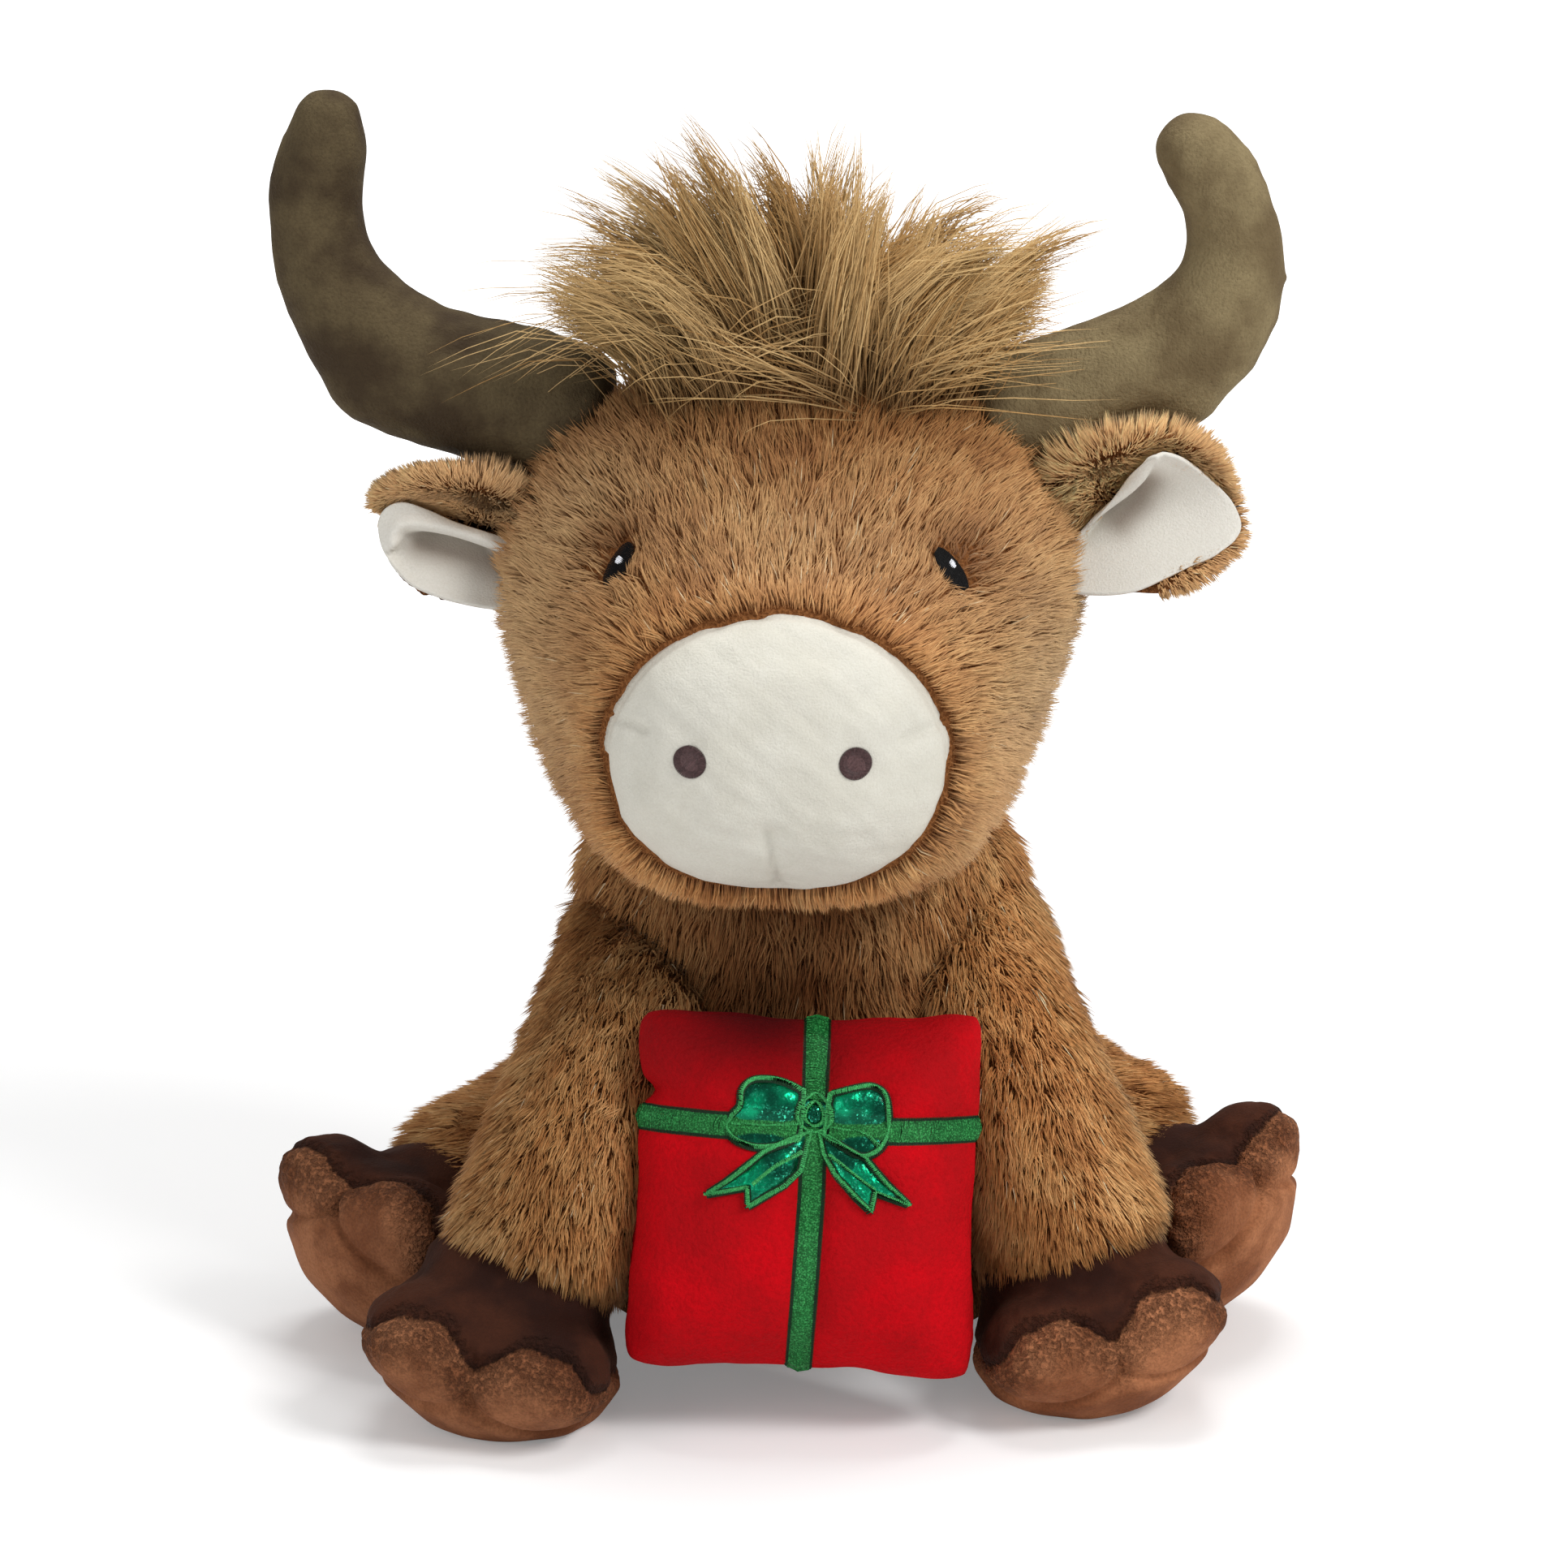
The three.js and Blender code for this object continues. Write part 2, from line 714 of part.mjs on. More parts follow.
// Gift: a cushion with a crown, thin seams and sides drawn in between its corners
const giftDrawShare = 0.045;
const giftCornerShare = 0.05;

function gift(grow) {
  const steps = 10;
  const grid = (face) => {
    const rows = [];
    for (let r = 0; r <= steps; r++) {
      const v = Math.sin((Math.PI / 2) * ((2 * r) / steps - 1));
      const row = [];
      for (let c = 0; c <= steps; c++) {
        const u = Math.sin((Math.PI / 2) * ((2 * c) / steps - 1));
        const crown = Math.sqrt((1 - u ** 4) * (1 - v ** 4));
        const corner = giftCornerShare * (u * v) ** 6;
        const x = u * (giftHalfWidth + grow) * (1 - giftDrawShare * (1 - v * v) - corner);
        const z = v * (giftHalfHeight + grow) * (1 - giftDrawShare * (1 - u * u) - corner);
        row.push(point(x, face * (giftSeam + grow + (giftHalfThickness - giftSeam) * crown), z));
      }
      rows.push(row);
    }
    return rows;
  };
  return slab(grid(-1), grid(1));
}

function inGift(solid) {
  const matrix = new THREE.Matrix4().makeTranslation(giftOffset, -giftForward, giftHeight);
  matrix.multiply(new THREE.Matrix4().makeRotationX(radians(-giftLeanAngle)));
  matrix.multiply(new THREE.Matrix4().makeRotationY(radians(giftRollAngle)));
  return moved(solid, matrix);
}

// Bow outlines, right-hand side, from the knot's centre: shares of the loop's length and height, and of the
// tail's length and drop
const loopShares = [
  [0.1, -0.1],
  [0.45, -0.4],
  [0.8, -0.5],
  [0.97, -0.44],
  [0.94, -0.2],
  [1, 0.05],
  [0.98, 0.36],
  [0.8, 0.5],
  [0.45, 0.36],
  [0.1, 0.12],
];
const bowTailShares = [
  [0.12, -0.3],
  [0.42, -0.66],
  [0.72, -1.06],
  [0.86, -0.94],
  [1.12, -0.98],
  [0.7, -0.55],
  [0.34, -0.16],
  [0, -0.1],
];

function bowOutline(shares, side, length, height, margin) {
  const place = ([out, up]) => new THREE.Vector2(ribbonOffset + side * out * length, bowRise + up * height);
  const points = shares.map(place);
  if (side < 0) points.reverse();
  return cutter(patch(points, margin));
}

// One arm of the horizontal ribbon, sagging towards the knot
function ribbonArm(side, margin) {
  const steps = 5;
  const upper = [];
  const lower = [];
  for (let i = 0; i <= steps; i++) {
    const share = i / steps;
    const x = ribbonOffset + side * share * 2 * giftHalfWidth;
    const z = bowRise - ribbonSag * Math.cos((share * Math.PI) / 2);
    upper.push(new THREE.Vector2(x, z + ribbonWidth / 2));
    lower.push(new THREE.Vector2(x, z - ribbonWidth / 2));
  }
  const points = side > 0 ? [...lower, ...upper.reverse()] : [...upper, ...lower.reverse()];
  return cutter(patch(points, margin));
}

function ribbonRun(from, to, margin) {
  const half = ribbonWidth / 2 + margin;
  return box(ribbonOffset - half, ribbonOffset + half, -overrun, 0, from, to);
}

const group = new THREE.Group();

function add(name, solid, material) {
  const mesh = new THREE.Mesh(geometryOf(solid), material);
  mesh.geometry.computeVertexNormals();
  mesh.name = name;
  group.add(mesh);
}

// Body: the skin opens at its closing seam low on the back, and the stuffing has a pocket for the pellet bag
const wholeBody = body(0);
const seamHalf = closingSeamWidth / 2;
const closingSeam = box(
  bodyOffset - seamHalf,
  bodyOffset + seamHalf,
  pelletBagBack,
  overrun,
  closingSeamHeight - closingSeamOpening / 2,
  closingSeamHeight + closingSeamOpening / 2,
);
const pellets = (grow) =>
  ellipsoid(
    bodyOffset,
    pelletBagBack,
    pelletBagRaise,
    pelletBagWidth / 2 + grow,
    pelletBagDepth / 2 + grow,
    pelletBagHeight / 2 + grow,
  );
add("torso_skin", wholeBody.subtract(body(-skinWall, innerSides)).subtract(closingSeam), furBrown);
const bodyFilling = body(-skinWall - gap, innerSides);
add("torso_stuffing", bodyFilling.subtract(pellets(gap)).subtract(closingSeam), fibre);
add("pellet_bag", pellets(0), linen);

// Head
const wholeHead = head(0);
const panelCut = (margin) =>
  cutter(
    oval(0, headHeight - muzzleDrop, muzzleHalfWidth + margin, muzzleHalfHeight + margin),
  ).intersect(box(-overrun, overrun, -overrun, headBack - headDepth / 2, -overrun, overrun));
const eyeCut = (side, margin) =>
  cutter(
    oval(
      (side * eyeSpacing) / 2,
      headHeight + eyeRise,
      eyeWidth / 2 + margin,
      eyeHeight / 2 + margin,
      side * eyeSlantAngle,
    ),
  );
const nostrilCut = (side, margin) =>
  cutter(
    oval(
      (side * nostrilSpacing) / 2,
      headHeight - muzzleDrop + nostrilRise,
      nostrilWidth / 2 + margin,
      nostrilHeight / 2 + margin,
    ),
  );
const sides = [
  ["left", -1],
  ["right", 1],
];

let headSkin = wholeHead
  .subtract(head(-skinWall, innerSides))
  .subtract(bed(wholeHead, panelCut(gap), muzzleThickness));
let panel = slice(wholeHead, panelCut(0), 0, muzzleThickness);
for (const [name, side] of sides) {
  headSkin = headSkin.subtract(bed(wholeHead, eyeCut(side, gap), stitchDepth));
  add("eye_" + name, inHead(slice(wholeHead, eyeCut(side, 0), stitchHeight, stitchDepth)), blackThread);
  panel = panel.subtract(bed(wholeHead, nostrilCut(side, gap), stitchDepth));
  const nostril = slice(wholeHead, nostrilCut(side, 0), stitchHeight, stitchDepth);
  add("nostril_" + name, inHead(nostril), nostrilThread);
}
add("muzzle_panel", inHead(panel), cream);

// The neck's ball sits in a round opening, so the head nods on it
const neckRoom = neckBall(neckRadius + gap);
add("head_skin", largest(inHead(headSkin).subtract(neckRoom)), furBrown);
add("head_stuffing", inHead(head(-skinWall - gap, innerSides)).subtract(neckRoom), fibre);

const hornRoom = head(gap);
const leftHorn = horn(-1, leftHornReach, leftHornRise, leftHornShares).subtract(hornRoom);
const rightHorn = horn(1, rightHornReach, rightHornRise, rightHornShares).subtract(hornRoom);
add("horn_left", inHead(leftHorn), hornVelour);
add("horn_right", inHead(rightHorn), hornVelour);
add("forelock", inHead(forelock().subtract(hornRoom)), paleFur);

const ears = [
  ["left", -1, leftEarLength, leftEarHalfHeight, headHeight + leftEarRise],
  ["right", 1, rightEarLength, rightEarHalfHeight, headHeight + rightEarRise],
];
for (const [name, side, length, halfHeight, height] of ears) {
  const room = headPastEar(side);
  const back = ear(side, length, halfHeight, height, 0, earWall, 1);
  const lining = ear(side, length, halfHeight, height, -gap - earLiningWall, -gap, earTrimShare);
  add("ear_back_" + name, inHead(back.subtract(room)), furBrown);
  add("ear_lining_" + name, inHead(lining.subtract(room)), cream);
}

// Gift
const wholeGift = gift(0);
const knotCut = (radius, margin) => cutter(oval(ribbonOffset, bowRise, radius + margin, radius + margin));
const loopCut = (side, margin) => bowOutline(loopShares, side, loopLength, loopHeight, margin);
const tailCut = (side, margin) => bowOutline(bowTailShares, side, bowTailLength, bowTailDrop, margin);
const bowRoom = joined([
  knotCut(knotRadius, gap),
  ...sides.flatMap(([, side]) => [loopCut(side, gap), tailCut(side, gap)]),
]);
const runDown = (margin) => ribbonRun(-overrun, bowRise, margin);
const runUp = (margin) => ribbonRun(bowRise, overrun, margin);
const stitched = (cut) => slice(wholeGift, cut, stitchHeight, stitchDepth);
const ribbonRoom = joined([bowRoom, runDown(gap), runUp(gap), ribbonArm(-1, gap), ribbonArm(1, gap)]);
const verticalRoom = runDown(gap).add(runUp(gap));

add("gift_cushion", inGift(wholeGift.subtract(bed(wholeGift, ribbonRoom, stitchDepth))), redVelour);
add("ribbon_bottom", inGift(largest(stitched(runDown(0).subtract(bowRoom)))), greenThread);
add("ribbon_top", inGift(largest(stitched(runUp(0).subtract(bowRoom)))), greenThread);
for (const [name, side] of sides) {
  const arm = ribbonArm(side, 0).subtract(bowRoom).subtract(verticalRoom);
  add("ribbon_" + name, inGift(largest(stitched(arm))), greenThread);
  const loop = loopCut(side, 0).subtract(knotCut(knotRadius, gap));
  add("bow_loop_" + name, inGift(largest(stitched(loop))), foil);
  const endRoom = joined([knotCut(knotRadius, gap), loopCut(side, gap), verticalRoom]);
  const end = tailCut(side, 0).subtract(endRoom);
  add("bow_tail_" + name, inGift(largest(stitched(end))), foil);
}
add("bow_knot", inGift(stitched(knotCut(knotRadius, 0).subtract(knotCut(gemRadius, gap)))), greenThread);
add("knot_gem", inGift(stitched(knotCut(gemRadius, 0))), foil);

// Front legs, cut by the body over their whole swing, by each hoof and by the gift
const bodyPastForeLegs = swept(body(gap), shoulderPivot, acrossX, 0, foreLegLiftAngle, 2);
const giftRoom = inGift(gift(gap));
const foreLegs = [
  ["left", -1, leftShoulder, leftForeSpread, leftForeStride],
  ["right", 1, rightShoulder, rightForeSpread, rightForeStride],
];
const foreHooves = {
  left: hoofPlace(
    -leftForeHoofOut,
    leftForeHoofForward,
    leftForeHoofHeight,
    leftForeHoofTurnAngle,
    leftForeHoofPitchAngle,
    leftForeHoofRollAngle,
  ),
  right: hoofPlace(
    rightForeHoofOut,
    rightForeHoofForward,
    rightForeHoofHeight,
    rightForeHoofTurnAngle,
    rightForeHoofPitchAngle,
    rightForeHoofRollAngle,
  ),
};
// Each fore hoof's and sleeve's room over the swing, which the hind legs leave free
const foreHoofRoom = {};
for (const [name, side, shoulder, spread, stride] of foreLegs) {
  const leg = foreLeg(side, shoulder, spread, stride, 0).subtract(bodyPastForeLegs).subtract(giftRoom);
  add("foreleg_" + name, largest(leg), furBrown);
  const { sole, upper } = hoof();
  const legRoom = foreLeg(side, shoulder, spread, stride, gap);
  const hoofRoom = legRoom.add(giftRoom);
  const cutHoof = (half) => largest(moved(half, foreHooves[name]).subtract(hoofRoom).intersect(above(0)));
  add("fore_hoof_upper_" + name, cutHoof(upper), darkVelour);
  add("fore_hoof_sole_" + name, cutHoof(sole), soleVelour);
  const outline = moved(hoofOutline(gap), foreHooves[name]).add(legRoom);
  foreHoofRoom[name] = swept(outline, shoulderPivot, acrossX, -foreLegLiftAngle, 0, 12);
}

// Hind legs, cut by the body over their whole spread
const hindLegs = [
  ["left", -1, leftHipHeight, leftHindReach, leftHindStride],
  ["right", 1, rightHipHeight, rightHindReach, rightHindStride],
];
const hindHooves = {
  left: hoofPlace(
    -leftHindHoofOut,
    leftHindHoofForward,
    leftHindHoofHeight,
    leftHindHoofTurnAngle,
    leftHindHoofPitchAngle,
    leftHindHoofRollAngle,
  ),
  right: hoofPlace(
    rightHindHoofOut,
    rightHindHoofForward,
    rightHindHoofHeight,
    rightHindHoofTurnAngle,
    rightHindHoofPitchAngle,
    rightHindHoofRollAngle,
  ),
};
for (const [name, side, height, reach, stride] of hindLegs) {
  const pivot = point(side * hipOut, hipBack, height);
  const room = swept(body(gap), pivot, upZ, 0, -side * hindLegSpreadAngle, 2);
  const leg = hindLeg(side, height, reach, stride, 0)
    .subtract(room)
    .subtract(foreHoofRoom[name])
    .intersect(above(gap));
  add("hind_leg_" + name, largest(leg), furBrown);
  const { sole, upper } = hoof();
  const hoofRoom = hindLeg(side, height, reach, stride, gap).add(foreHoofRoom[name]);
  const cutHoof = (half) => largest(moved(half, hindHooves[name]).subtract(hoofRoom).intersect(above(gap)));
  add("hind_hoof_upper_" + name, cutHoof(upper), darkVelour);
  add("hind_hoof_sole_" + name, cutHoof(sole), soleVelour);
}

// Tail
const bodyPastTail = swept(body(gap), tailRoot, acrossX, -tailLiftAngle, 0, 4);
add("tail", largest(tailStrip(0).subtract(bodyPastTail)), furBrown);
add("tail_tuft", largest(tailTuft().subtract(tailStrip(gap)).subtract(bodyPastTail)), paleFur);

export default group;
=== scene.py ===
import math

import bmesh
import bpy
import numpy as np
from mathutils import Matrix, Vector
from mathutils.bvhtree import BVHTree
from mathutils.kdtree import KDTree


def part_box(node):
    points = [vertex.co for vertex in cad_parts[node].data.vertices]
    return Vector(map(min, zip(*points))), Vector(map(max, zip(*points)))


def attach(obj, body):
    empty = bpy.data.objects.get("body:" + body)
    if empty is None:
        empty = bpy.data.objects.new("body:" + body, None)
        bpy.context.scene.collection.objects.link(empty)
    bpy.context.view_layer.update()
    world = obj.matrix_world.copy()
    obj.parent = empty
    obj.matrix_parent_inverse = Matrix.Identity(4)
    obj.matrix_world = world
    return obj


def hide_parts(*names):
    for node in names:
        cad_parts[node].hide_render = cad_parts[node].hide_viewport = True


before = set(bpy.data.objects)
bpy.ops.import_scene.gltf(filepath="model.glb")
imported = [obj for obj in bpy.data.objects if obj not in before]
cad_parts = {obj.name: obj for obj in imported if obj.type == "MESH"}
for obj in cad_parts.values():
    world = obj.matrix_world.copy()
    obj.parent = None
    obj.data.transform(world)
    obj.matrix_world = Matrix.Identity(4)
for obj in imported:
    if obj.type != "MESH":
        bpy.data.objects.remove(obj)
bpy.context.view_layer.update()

scene = bpy.context.scene

# Camera and room
# The photograph looks 14 degrees down on the toy through a long lens. The floor is one wide pale disc,
# lit by large soft lamps, and the world behind it is white.
picture_side = 1932
focal_pixels = 5200
centre_pixel = 978
camera_distance = 1.0
camera_elevation = math.radians(14)
aim_height = 0.132


def linked(name, data):
    """A new object in the scene."""
    piece = bpy.data.objects.new(name, data)
    scene.collection.objects.link(piece)
    return piece


camera = linked("camera", bpy.data.cameras.new("camera"))
camera.data.sensor_width = 36
camera.data.lens = 36 * focal_pixels / picture_side
camera.data.shift_x = (picture_side / 2 - centre_pixel) / picture_side
camera.location = (
    0,
    -camera_distance * math.cos(camera_elevation),
    aim_height + camera_distance * math.sin(camera_elevation),
)
camera.rotation_euler = (math.pi / 2 - camera_elevation, 0, 0)
scene.camera = camera


def lamp(name, place, size, power):
    """A square soft lamp that faces the toy's middle."""
    light = bpy.data.lights.new(name, "AREA")
    light.size = size
    light.energy = power
    holder = linked(name, light)
    holder.location = place
    towards = Vector((0, 0, aim_height)) - holder.location
    holder.rotation_euler = towards.to_track_quat("-Z", "Y").to_euler()


lamp("key_lamp", (1.1, -0.85, 1.35), 0.6, 19)
lamp("fill_lamp", (-1.25, -0.9, 0.65), 1.0, 5)
lamp("top_lamp", (0.1, 0.3, 1.5), 0.7, 10)


class Value:
    """A socket's value in a finish. Sums and products of values add the Math nodes that work them out."""

    def __init__(self, finish, socket):
        self.finish = finish
        self.socket = socket

    def maths(self, operation, *parts):
        return self.finish.node("ShaderNodeMath", {"operation": operation}, dict(enumerate(parts)))

    def __add__(self, other):
        return self.maths("ADD", self, other)

    def __sub__(self, other):
        return self.maths("SUBTRACT", self, other)

    def __rsub__(self, other):
        return self.maths("SUBTRACT", other, self)

    def __mul__(self, other):
        return self.maths("MULTIPLY", self, other)

    __radd__ = __add__
    __rmul__ = __mul__


def linear(colour):
    """A colour as a screen shows it, 0 to 255, in the shader's linear values."""
    share = np.asarray(colour, float) / 255
    return np.where(share <= 0.04045, share / 12.92, ((share + 0.055) / 1.055) ** 2.4)


class Finish:
    """A material whose plain values sit on the shader's own sockets."""

    def __init__(self, name, **plain):
        self.material = bpy.data.materials.new(name)
        self.material.use_nodes = True
        self.tree = self.material.node_tree
        self.shader = self.tree.nodes["Principled BSDF"]
        for socket, value in plain.items():
            self.shader.inputs[socket.replace("_", " ")].default_value = value

    def node(self, kind, settings, sockets, output=0):
        node = self.tree.nodes.new(kind)
        for key, value in settings.items():
            setattr(node, key, value)
        for key, value in sockets.items():
            self.feed(node.inputs[key], value)
        return Value(self, node.outputs[output])

    def feed(self, socket, value):
        if isinstance(value, Value):
            self.tree.links.new(value.socket, socket)
        else:
            socket.default_value = value

    def set(self, socket, value):
        self.feed(self.shader.inputs[socket], value)

    def place(self):
        return self.node("ShaderNodeTexCoord", {}, {}, "Object")

    def noise(self, scale, detail=2, roughness=0.5, at=None):
        sockets = {"Vector": at or self.place(), "Scale": scale, "Detail": detail, "Roughness": roughness}
        return self.node("ShaderNodeTexNoise", {}, sockets)

    def steps(self, value, low, high):
        sockets = {"Value": value, "From Min": low, "From Max": high}
        return self.node("ShaderNodeMapRange", {"interpolation_type": "SMOOTHSTEP"}, sockets)

    def painted(self, name, output="Fac"):
        return self.node("ShaderNodeAttribute", {"attribute_name": name}, {}, output)

    def mixed(self, share, first, second, blend="MIX"):
        """Two colours, each a screen colour or another node's, blended by a share."""
        first, second = (c if isinstance(c, Value) else (*linear(c), 1) for c in (first, second))
        settings = {"data_type": "RGBA", "blend_type": blend}
        return self.node("ShaderNodeMix", settings, {0: share, 6: first, 7: second}, 2)

    def bump(self, height, distance, strength=1):
        sockets = {"Height": height, "Distance": distance, "Strength": strength}
        self.set("Normal", self.node("ShaderNodeBump", {}, sockets))


def deselect():
    bpy.ops.object.select_all(action="DESELECT")


floor_radius = 7
floor_sides = 96
deselect()
bpy.ops.mesh.primitive_circle_add(vertices=floor_sides, radius=floor_radius, fill_type="TRIFAN")
floor = bpy.context.object
floor.name = "floor"
paper = Finish("white_paper", Base_Color=(0.86, 0.86, 0.86, 1), Roughness=0.9, Specular_IOR_Level=0.1)
rays = paper.node("ShaderNodeLightPath", {}, {}, "Is Camera Ray")
glossy = Value(paper, rays.socket.node.outputs["Is Glossy Ray"])
through = Value(paper, rays.socket.node.outputs["Is Transmission Ray"])
distance = paper.node("ShaderNodeVectorMath", {"operation": "LENGTH"}, {0: paper.place()}, "Value")
far = paper.steps(distance, 0.45, 1.3)
glow = paper.node("ShaderNodeEmission", {}, {"Color": (1, 1, 1, 1), "Strength": 1.0})
none = paper.node("ShaderNodeEmission", {}, {"Color": (0, 0, 0, 1), "Strength": 0.0})
seen = (rays + glossy + through) * (0.2 + 0.8 * far)
lit = paper.node("ShaderNodeMixShader", {}, {0: seen, 1: none, 2: glow})
both = paper.node("ShaderNodeAddShader", {}, {0: Value(paper, paper.shader.outputs[0]), 1: lit})
paper.tree.links.new(both.socket, paper.tree.nodes["Material Output"].inputs["Surface"])
floor.data.materials.append(paper.material)

world_strength = 0.42
world = bpy.data.worlds.new("studio")
scene.world = world
world.use_nodes = True
sky = world.node_tree
path = sky.nodes.new("ShaderNodeLightPath")
share = sky.nodes.new("ShaderNodeMapRange")
share.inputs["To Min"].default_value = world_strength
sky.links.new(path.outputs["Is Camera Ray"], share.inputs["Value"])
sky.nodes["Background"].inputs["Color"].default_value = (1, 1, 1, 1)
sky.links.new(share.outputs["Result"], sky.nodes["Background"].inputs["Strength"])
scene.view_settings.view_transform = "Standard"

# Body
# A pear of fur fabric, stuffed with fibre over a bag of pellets, closed by a seam low on the back. The fur
# is a dense pile about 9 mm long, dark at its roots, partly its own tone and partly painted shade, that lies
# down the body in tufts.
body_voxel = 0.004
body_swell = 0.0015
cloth_pressure = 4
cloth_frames = 20


def choose(piece):
    deselect()
    piece.select_set(True)
    bpy.context.view_layer.objects.active = piece


def copied(name, *nodes):
    """One new mesh of CAD nodes' copies, whose loose triangles are merged."""
    deselect()
    for node in nodes:
        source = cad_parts[node]
        copy = linked(name, source.data.copy())
        copy.data.transform(source.matrix_world)
        copy.data.materials.clear()
        copy.select_set(True)
        bpy.context.view_layer.objects.active = copy
    if len(nodes) > 1:
        bpy.ops.object.join()
    piece = bpy.context.view_layer.objects.active
    bpy.ops.object.mode_set(mode="EDIT")
    bpy.ops.mesh.select_all(action="SELECT")
    bpy.ops.mesh.remove_doubles(threshold=1e-6)
    bpy.ops.object.mode_set(mode="OBJECT")
    piece.name = name
    return piece


def finished(piece, kind, **settings):
    """Adds a modifier with these settings and applies it."""
    choose(piece)
    modifier = piece.modifiers.new(kind.lower(), kind)
    for key, value in settings.items():
        setattr(modifier, key, value)
    bpy.ops.object.modifier_apply(modifier=modifier.name)


def points(piece, kind="co"):
    flat = np.empty(len(piece.data.vertices) * 3, np.float32)
    piece.data.vertices.foreach_get(kind, flat)
    return flat.reshape(-1, 3).astype(float)


def normals(piece):
    return points(piece, "normal")


def set_points(piece, places):
    piece.data.vertices.foreach_set("co", places.astype(np.float32).ravel())
    piece.data.update()


def outer_shell(piece):
    """Keeps the largest of the mesh's loose shells."""
    shape = bmesh.new()
    shape.from_mesh(piece.data)
    seen_verts = set()
    shells = []
    for start in shape.verts:
        if start in seen_verts:
            continue
        seen_verts.add(start)
        shell = [start]
        for vert in shell:
            for edge in vert.link_edges:
                other = edge.other_vert(vert)
                if other not in seen_verts:
                    seen_verts.add(other)
                    shell.append(other)
        shells.append(shell)
    shells.sort(key=len)
    for shell in shells[:-1]:
        bmesh.ops.delete(shape, geom=shell, context="VERTS")
    shape.to_mesh(piece.data)
    shape.free()


def eased(piece, rounds):
    """Rounds off the mesh's facets and keeps its volume."""
    places = points(piece)
    count = len(places)
    edges = np.empty(len(piece.data.edges) * 2, np.int32)
    piece.data.edges.foreach_get("vertices", edges)
    near, far = edges.reshape(-1, 2).T
    degree = np.bincount(edges, minlength=count)[:, None]
    for share in (0.5, -0.52) * rounds:
        total = np.stack(
            [
                np.bincount(near, places[far, axis], count) + np.bincount(far, places[near, axis], count)
                for axis in range(3)
            ],
            1,
        )
        places = places + share * (total / degree - places)
    set_points(piece, places)


def lengths(vectors):
    return np.linalg.norm(vectors, axis=-1, keepdims=True)


def unit(vectors):
    return vectors / np.maximum(lengths(vectors), 1e-12)


def dot(first, second):
    return (first * second).sum(-1, keepdims=True)


def blown(name, nodes, voxel, swell, rounds=30):
    """The nodes' form, blown up by the stuffing's pressure no further than the swell."""
    piece = copied(name, *nodes)
    finished(piece, "REMESH", mode="VOXEL", voxel_size=voxel)
    outer_shell(piece)
    eased(piece, rounds)
    start = points(piece)
    cloth = piece.modifiers.new("cloth", "CLOTH")
    cloth.settings.use_pressure = True
    cloth.settings.uniform_pressure_force = cloth_pressure
    cloth.settings.effector_weights.gravity = 0
    cloth.point_cache.frame_end = cloth_frames
    for step in range(1, cloth_frames + 1):
        scene.frame_set(step)
    choose(piece)
    bpy.ops.object.modifier_apply(modifier=cloth.name)
    scene.frame_set(1)
    change = points(piece) - start
    change -= change.mean(0)
    change *= np.minimum(1, swell / np.maximum(lengths(change), 1e-9))
    set_points(piece, start + change)
    eased(piece, 2)
    finished(piece, "SUBSURF", levels=1)
    choose(piece)
    bpy.ops.object.shade_smooth()
    return piece


def bell(away, span, power=2):
    """1 in the middle, fading away from it by this span."""
    return np.exp(-((away / span) ** power))


def near_spot(root, place, span):
    """1 at a place, fading away from it by this span."""
    return bell(lengths((root - np.array(place)) / np.array(span)), 1)


def pressed(piece, place, span, move):
    """Moves the piece's skin near a place by up to this much."""
    spots = points(piece)
    set_points(piece, spots + near_spot(spots, place, span) * np.array(move))


def sewn(piece, node, body, finish):
    """Gives a piece its finish and the body that it moves with, and hides the CAD node that it stands in
    for.
    """
    piece.data.materials.append(finish)
    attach(piece, body)
    if node:
        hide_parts(node)
    return piece


backing = Finish("fur_roots", Roughness=0.95, Specular_IOR_Level=0.1)
roots = backing.noise(1400, 3)
backing.set("Base Color", backing.mixed(backing.steps(roots, 0.35, 0.65), (112, 68, 36), (152, 100, 58)))
backing.bump(roots, 0.0012)
backing_finish = backing.material

torso = blown("torso_plush", ["torso_skin", "torso_stuffing", "pellet_bag"], body_voxel, body_swell)
pressed(torso, (0.05, 0, 0.116), (0.016, 0.03, 0.014), (0.007, 0, 0.001))
pressed(torso, (-0.05, 0, 0.112), (0.016, 0.03, 0.016), (-0.004, 0, 0))
sewn(torso, "torso_skin", "torso", backing_finish)

# Head
# A stuffed cone of the same fabric, wide at the eyes and narrow at the snout. Its pile is combed outwards
# from the muzzle and back over the crown.
cheek_height = 0.149
cheek_span = 0.026
cheek_pull = {-1: 0.006, 1: 0.0085}
cheek_hollow = 0.004


def slimmed(piece, extra=0.0):
    """Pulls the lower cheeks in."""
    places = points(piece)
    reach = np.clip((np.abs(places[:, 0]) - 0.03) / 0.028, 0, 1)
    pull = np.where(places[:, 0] < 0, cheek_pull[-1], cheek_pull[1]) + extra
    pull = pull * reach**2 * (3 - 2 * reach) * bell(places[:, 2] - cheek_height, cheek_span)
    places[:, 0] -= np.sign(places[:, 0]) * pull
    set_points(piece, places)


def triangles(piece):
    """The vertex numbers of each triangle's corners."""
    piece.data.calc_loop_triangles()
    corners = np.empty(len(piece.data.loop_triangles) * 3, np.int32)
    piece.data.loop_triangles.foreach_get("vertices", corners)
    return corners.reshape(-1, 3)


def surface(piece):
    """The piece's surface, for finding what lies on it or inside it."""
    return BVHTree.FromPolygons(points(piece).tolist(), triangles(piece).tolist())


